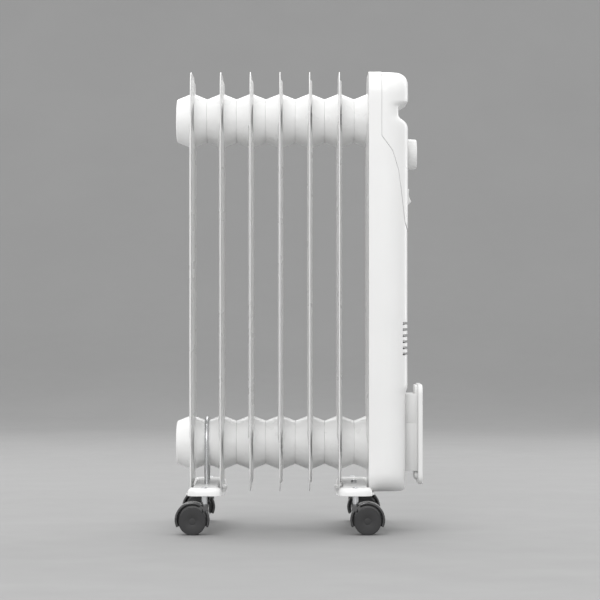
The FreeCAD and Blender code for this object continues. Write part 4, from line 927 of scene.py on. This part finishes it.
def bracket(end, x):
    """Pressed sheet: a raised middle between two flanges, with a tray at each end."""
    form = Form()
    deck_top, deck_under = 16.5, 16.5 - SHEET
    top = rounded([(-FLANGE_HALF, FLANGE, 0), (-deck_top, FLANGE, 1.2), (-deck_top, DECK, 2.6),
                   (deck_top, DECK, 2.6), (deck_top, FLANGE, 1.2), (FLANGE_HALF, FLANGE, 0)], False, 6)
    low, high = FLANGE - SHEET, DECK - SHEET
    under = rounded([(-FLANGE_HALF, low, 0), (-deck_under, low, 2.7), (-deck_under, high, 1.1),
                     (deck_under, high, 1.1), (deck_under, low, 2.7), (FLANGE_HALF, low, 0)], False, 6)
    runs = [-95.6, -92, -60, -30, 0, 30, 60, 92, 95.6]
    outer, inner = [], []
    for y in runs:
        limit = FLANGE_HALF - (3 if y in (runs[0], runs[-1]) else 0)
        for profile, verts in ((top, outer), (under, inner)):
            verts += [(x + max(-limit, min(limit, u)), y, v) for u, v in profile]
    form.shell(outer, inner, grid(len(runs), len(top)))
    for sign in SIDES.values():
        tray(form, x, sign)
    form.piece("bracket_sheet_" + end, "bracket_enamel", ["caster_bracket_" + end], bevel=0.3,
               angle=40)


def tray(form, x, sign):
    """Dished end of a bracket, its rim turned down all round."""
    corner = (4, 4, 12, 12) if sign > 0 else (12, 12, 4, 4)

    def ring(z, pull):
        radii = tuple(max(0.8, r - pull) for r in corner)
        return [(x + u, v, z) for u, v in oblong(22.75 - pull, 14 - pull, radii, 6, sign * 110)]

    outer = [ring(z, pull) for z, pull in ((51.3, 0), (52.4, 0), (56.5, 0.3), (58.3, 0.75), (59.8, 1.6),
                                           (60.9, 2.7), (61.6, 4), (61.92, 5.2), (DECK, 6.5))]
    inner = [ring(z, pull) for z, pull in ((51.3, 1.5), (52.4, 1.5), (56.3, 1.8), (57.8, 2.2), (59, 2.9),
                                           (59.8, 3.8), (60.2, 4.9), (60.42, 5.9), (60.5, 7))]
    count = len(outer[0])
    cells = grid(len(outer), count, True)
    cells.append(tuple(range((len(outer) - 1) * count, len(outer) * count)))
    form.shell([p for loop in outer for p in loop], [p for loop in inner for p in loop], cells)


def hexagonal(form, x, low, high, across):
    """Hexagon head or nut with chamfered corners on its upper face; across is half its width over flats."""
    corner, turn, steps = across / math.cos(math.pi / 6), math.pi / 3, 48
    flats = [across / math.cos((2 * math.pi * step / steps + turn / 2) % turn - turn / 2)
             for step in range(steps)]
    outlines = []
    for z, pull in ((low, 0.25), (low + 0.25, 0), (high - 0.7, 0), (high - 0.25, 0.35), (high, 0.9)):
        radii = [min(flat, corner - pull) for flat in flats]
        outlines.append((z, [(x + radius * cosine, radius * sine)
                             for radius, (cosine, sine) in zip(radii, circle(steps))]))
    form.stack(outlines, "Z")


def u_bolt():
    """A rod bent over the lower collector, threaded at both ends, with two wing nuts."""
    x, reach, rod, root = ENDS["back"][0], 32.8, 3, 2.72
    # (z, radius) up one leg: the thread's crests and roots, and then plain rod
    leg = [(52.4 + 0.5 * step, root if step % 2 else rod) for step in range(44)]
    leg[0] = (leg[0][0], 2.4)
    leg += [(75, rod), (95, rod), (HUB_LOW, rod)]
    arch = [(x, reach * math.cos(angle), HUB_LOW + reach * math.sin(angle))
            for angle in (math.pi * (1 - step / 48) for step in range(1, 48))]
    path = [(x, -reach, z) for z, _ in leg] + arch + [(x, reach, z) for z, _ in reversed(leg)]
    radii = [radius for _, radius in leg]
    Form().tube(path, radii + [rod] * len(arch) + radii[::-1], 32).piece(
        "u_bolt_rod", "zinc_steel", ["u_bolt"], angle=60)

    nuts, base = Form(), 54.3
    wing = rounded([(4, base + 0.4, 0), (9, base - 0.6, 2.4), (11, base + 3.2, 2.6),
                    (8, base + 4.5, 1.6), (4, base + 4.2, 0)], True, 6)
    centre_u, centre_v = 7.2, base + 2.2
    for y in (-reach, reach):
        nuts.turned([(base, 3.05), (base, 4.3), (base + 0.4, 4.7), (base + 5.6, 6), (base + 6, 6.1),
                     (base + 6.15, 5.8), (base + 6.15, 3.05)], "Z", (x, y, 0), 40, closed=True)
        for way in (-1, 1):
            nuts.stack([(y + depth, [(x + way * (centre_u + (u - centre_u) * (1 - pull / 4)),
                                      centre_v + (v - centre_v) * (1 - pull / 4)) for u, v in wing])
                        for depth, pull in ((-1, 0.35), (-0.75, 0.1), (-0.3, 0), (0.3, 0), (0.75, 0.1),
                                            (1, 0.35))], "Y")
    nuts.piece("wing_nut_pair", "zinc_steel", ["wing_nuts"], angle=40)


def front_bolt():
    """The bolt, washer and nut that hold the front bracket."""
    x, seat = ENDS["front"][0], DECK + 0.8
    washer = Form().turned([(DECK, 2.75), (DECK, 4.8), (DECK + 0.15, 5), (seat - 0.15, 5), (seat, 4.8),
                            (seat, 2.75)], "Z", (x, 0, 0), 48, closed=True)
    washer.piece("bolt_washer", "zinc_steel", ["bracket_washer"], angle=40)
    bolt = Form()
    hexagonal(bolt, x, seat, seat + 3, 3.81)
    shank = [(53.8, 0), (53.8, 2.1), (54.1, 2.5)]
    shank += [(54.1 + 0.4 * k, 2.22 if k % 2 else 2.5) for k in range(1, 20)] + [(seat, 2.4), (seat, 0)]
    bolt.turned(shank, "Z", (x, 0, 0), 32)
    bolt.piece("bolt_head", "zinc_steel", ["bracket_bolt"], angle=35)
    nut = Form()
    hexagonal(nut, x, 56.5, 60.5, 3.98)
    nut.piece("bolt_nut", "zinc_steel", ["bracket_nut"], angle=35)


for bracket_end, (bracket_x, _) in ENDS.items():
    bracket(bracket_end, bracket_x)
u_bolt()
front_bolt()


# ------------------------ casters

# a wheel's radius, and how far the hood's centre is above the axle
WHEEL, LIFT = 18.1, 2.6
HOOD_INSIDE, HOOD_MIDDLE, HOOD_OUTSIDE = 20.3, 21.8, 23.3


def sector_band(form, x, y, z, away, start, end, steps):
    """Part of a hood's hollow rim, from one angle to another, with rounded edges and ends."""
    inner, outer, half = HOOD_INSIDE, HOOD_OUTSIDE, 11.2
    section = rounded([(inner, -half, 0.5), (outer, -half, 1.5), (outer, half, 1.5), (inner, half, 0.5)],
                      True, 5)
    way = 1 if end > start else -1
    # (squeeze, nudge along the arc) of the rings at each end; the other rings keep the full section
    ends = {0: ((0.55, -0.55), (0.85, -0.2), (1, 0.25)), steps: ((1, -0.25), (0.85, 0.2), (0.55, 0.55))}
    rings = []
    for step in range(steps + 1):
        angle = math.radians(start + (end - start) * step / steps)
        for squeeze, nudge in ends.get(step, ((1, 0),)):
            turned = angle + (nudge / HOOD_MIDDLE) * way
            ring = []
            for radius, depth in section:
                spot = HOOD_MIDDLE + (radius - HOOD_MIDDLE) * squeeze
                ring.append((x + away * spot * math.cos(turned), y + depth * (0.94 + 0.06 * squeeze),
                             z + spot * math.sin(turned)))
            rings.append(ring)
    form.loft(rings)


def caster(end, side):
    """Stem, hood, axle and two wheels of one caster; the hood trails away from the stem."""
    tag = "%s_%s" % (end, side)
    stem_x, away = ENDS[end]
    sign = SIDES[side]
    y = 116 * sign
    axle_x, hood_z = stem_x + 16 * away, WHEEL + LIFT

    stem = Form().turned(
        [(24, 0), (24, 2.4), (24.6, 3), (40.4, 3), (40.5, 3.3), (40.8, 3.75), (60.4, 3.75),
         (60.5, 3), (DECK, 3), (DECK, 4), (DECK + 0.5, 4), (DECK + 1, 3.55), (DECK + 1.3, 2.6),
         (DECK + 1.4, 1.2), (DECK + 1.4, 0)], "Z", (stem_x, y, 0), 40)
    stem.piece("stem_" + tag, "zinc_steel", ["caster_stem_" + tag], angle=35)

    hood = Form()
    # angles from the way the hood trails: the rim's low ends, and the gap under the stem's boss
    low_angle = math.degrees(math.asin((11.5 - hood_z) / HOOD_MIDDLE))
    notch = math.degrees(math.acos(-10.8 / HOOD_MIDDLE))
    shelf = 180 - math.degrees(math.asin((31.5 - hood_z) / HOOD_MIDDLE))
    sector_band(hood, axle_x, y, hood_z, away, low_angle, notch, 40)
    sector_band(hood, axle_x, y, hood_z, away, shelf, 180 - low_angle, 18)
    # the middle web between the wheels
    web = [(away * 22.2 * math.cos(angle), 22.2 * math.sin(angle))
           for angle in map(math.radians, levels(low_angle, 180 - low_angle, 60))]
    edges = ((-4.8, 0.5), (-4.6, 0.15), (-4.1, 0), (4.1, 0), (4.6, 0.15), (4.8, 0.5))
    hood.stack([(y + depth, [(axle_x + u * (1 - pull / 22), hood_z + v * (1 - pull / 22)) for u, v in web])
                for depth, pull in edges], "Y")
    hood.turned([(30, 0), (30, 5.8), (38.9, 5.8), (39.7, 5.5), (40.15, 4.9), (40.2, 3.9), (40.2, 3.06),
                 (39, 3.06), (39, 0)], "Z", (stem_x, y, 0), 48)
    # gussets that tie the stem's boss to the rim
    gusset = [(stem_x + away * 4, 31), (stem_x + away * 4, 38.6), (stem_x + away * 7, 38),
              (axle_x - away * 6.5, hood_z + 20.6), (axle_x - away * 9, 33)]
    for depth in (-3, 3):
        hood.prism(gusset, "Y", y + depth - 0.9, y + depth + 0.9)
    hood.piece("hood_" + tag, "caster_nylon", ["caster_hood_" + tag], "swivel_" + tag, angle=38)

    axle = Form().turned([(-10, 0), (-10, 2), (-9.5, 2.5), (9.5, 2.5), (10, 2), (10, 0)], "Y",
                         (axle_x, y, WHEEL), 32)
    axle.piece("axle_" + tag, "zinc_steel", ["caster_axle_" + tag], "wheels_" + tag, angle=35)

    # from the hub's outer face over two grooves and the tread to the hub's inner face
    profile = [(11.38, 0), (11.38, 4.1), (11.34, 4.3), (11.22, 4.45), (11.22, 4.75), (11.34, 4.9),
               (11.42, 5.2), (11.42, 15.7), (11.40, 16), (11.28, 16.15), (11.28, 16.45), (11.4, 16.6),
               (11.42, 16.9), (11.36, 17.35), (11.1, 17.8), (10.6, 18.05), (10, WHEEL), (8.9, WHEEL),
               (8.8, 17.95), (8.6, 17.95), (8.5, WHEEL), (6.6, WHEEL), (6, 18), (5.6, 17.7), (5.4, 17),
               (5.4, 14), (5.9, 13.6), (6.6, 12.8), (6.6, 7), (5.9, 6.2), (5.4, 5.8), (5.4, 0)]
    for name, way in (("outer", sign), ("inner", -sign)):
        wheel = Form().turned([(way * along, radius) for along, radius in profile], "Y",
                              (axle_x, y, WHEEL), 96)
        wheel.piece("wheel_%s_%s" % (name, tag), "wheel_nylon", ["caster_wheel_%s_%s" % (name, tag)],
                    "wheels_" + tag, angle=30)


for caster_end in ENDS:
    for caster_side in SIDES:
        caster(caster_end, caster_side)


# ------------------------ gland

def gland():
    """The ring that the cord would pass through, with beads round its face."""
    x, z, beads, bead_round = 110, 84, 12, 0.7
    form = Form().turned([(72.5, 4), (72.5, 6.6), (72.9, 7), (77, 7), (77, 8.8), (77.3, 9),
                          (78.6, 9), (79.5, 8.6), (79.9, 7.8), (80, 6.8), (80, 4.6), (79.7, 4.15),
                          (79.2, 4)], "Y", (x, 0, z), 64, closed=True)
    for step in range(beads):
        angle = 2 * math.pi * step / beads
        bead_x, bead_z = x + 7.9 * math.cos(angle), z + 7.9 * math.sin(angle)
        form.prism([(bead_x + bead_round * math.cos(angle + k * math.pi / 4),
                     bead_z + bead_round * math.sin(angle + k * math.pi / 4)) for k in range(8)],
                   "Y", 78.8, 79.95)
    form.piece("gland_ring", "gland_nylon", ["cord_gland"], angle=35)


gland()


# ------------------------ finishes of the CAD nodes that stay

slot_of = {part["node"]: part["material_slot"] for part in frame["record"]["subparts"]}
for node_name, node in frame["nodes"].items():
    for holder in node.material_slots:
        holder.material = MATERIALS[slot_of[node_name]]
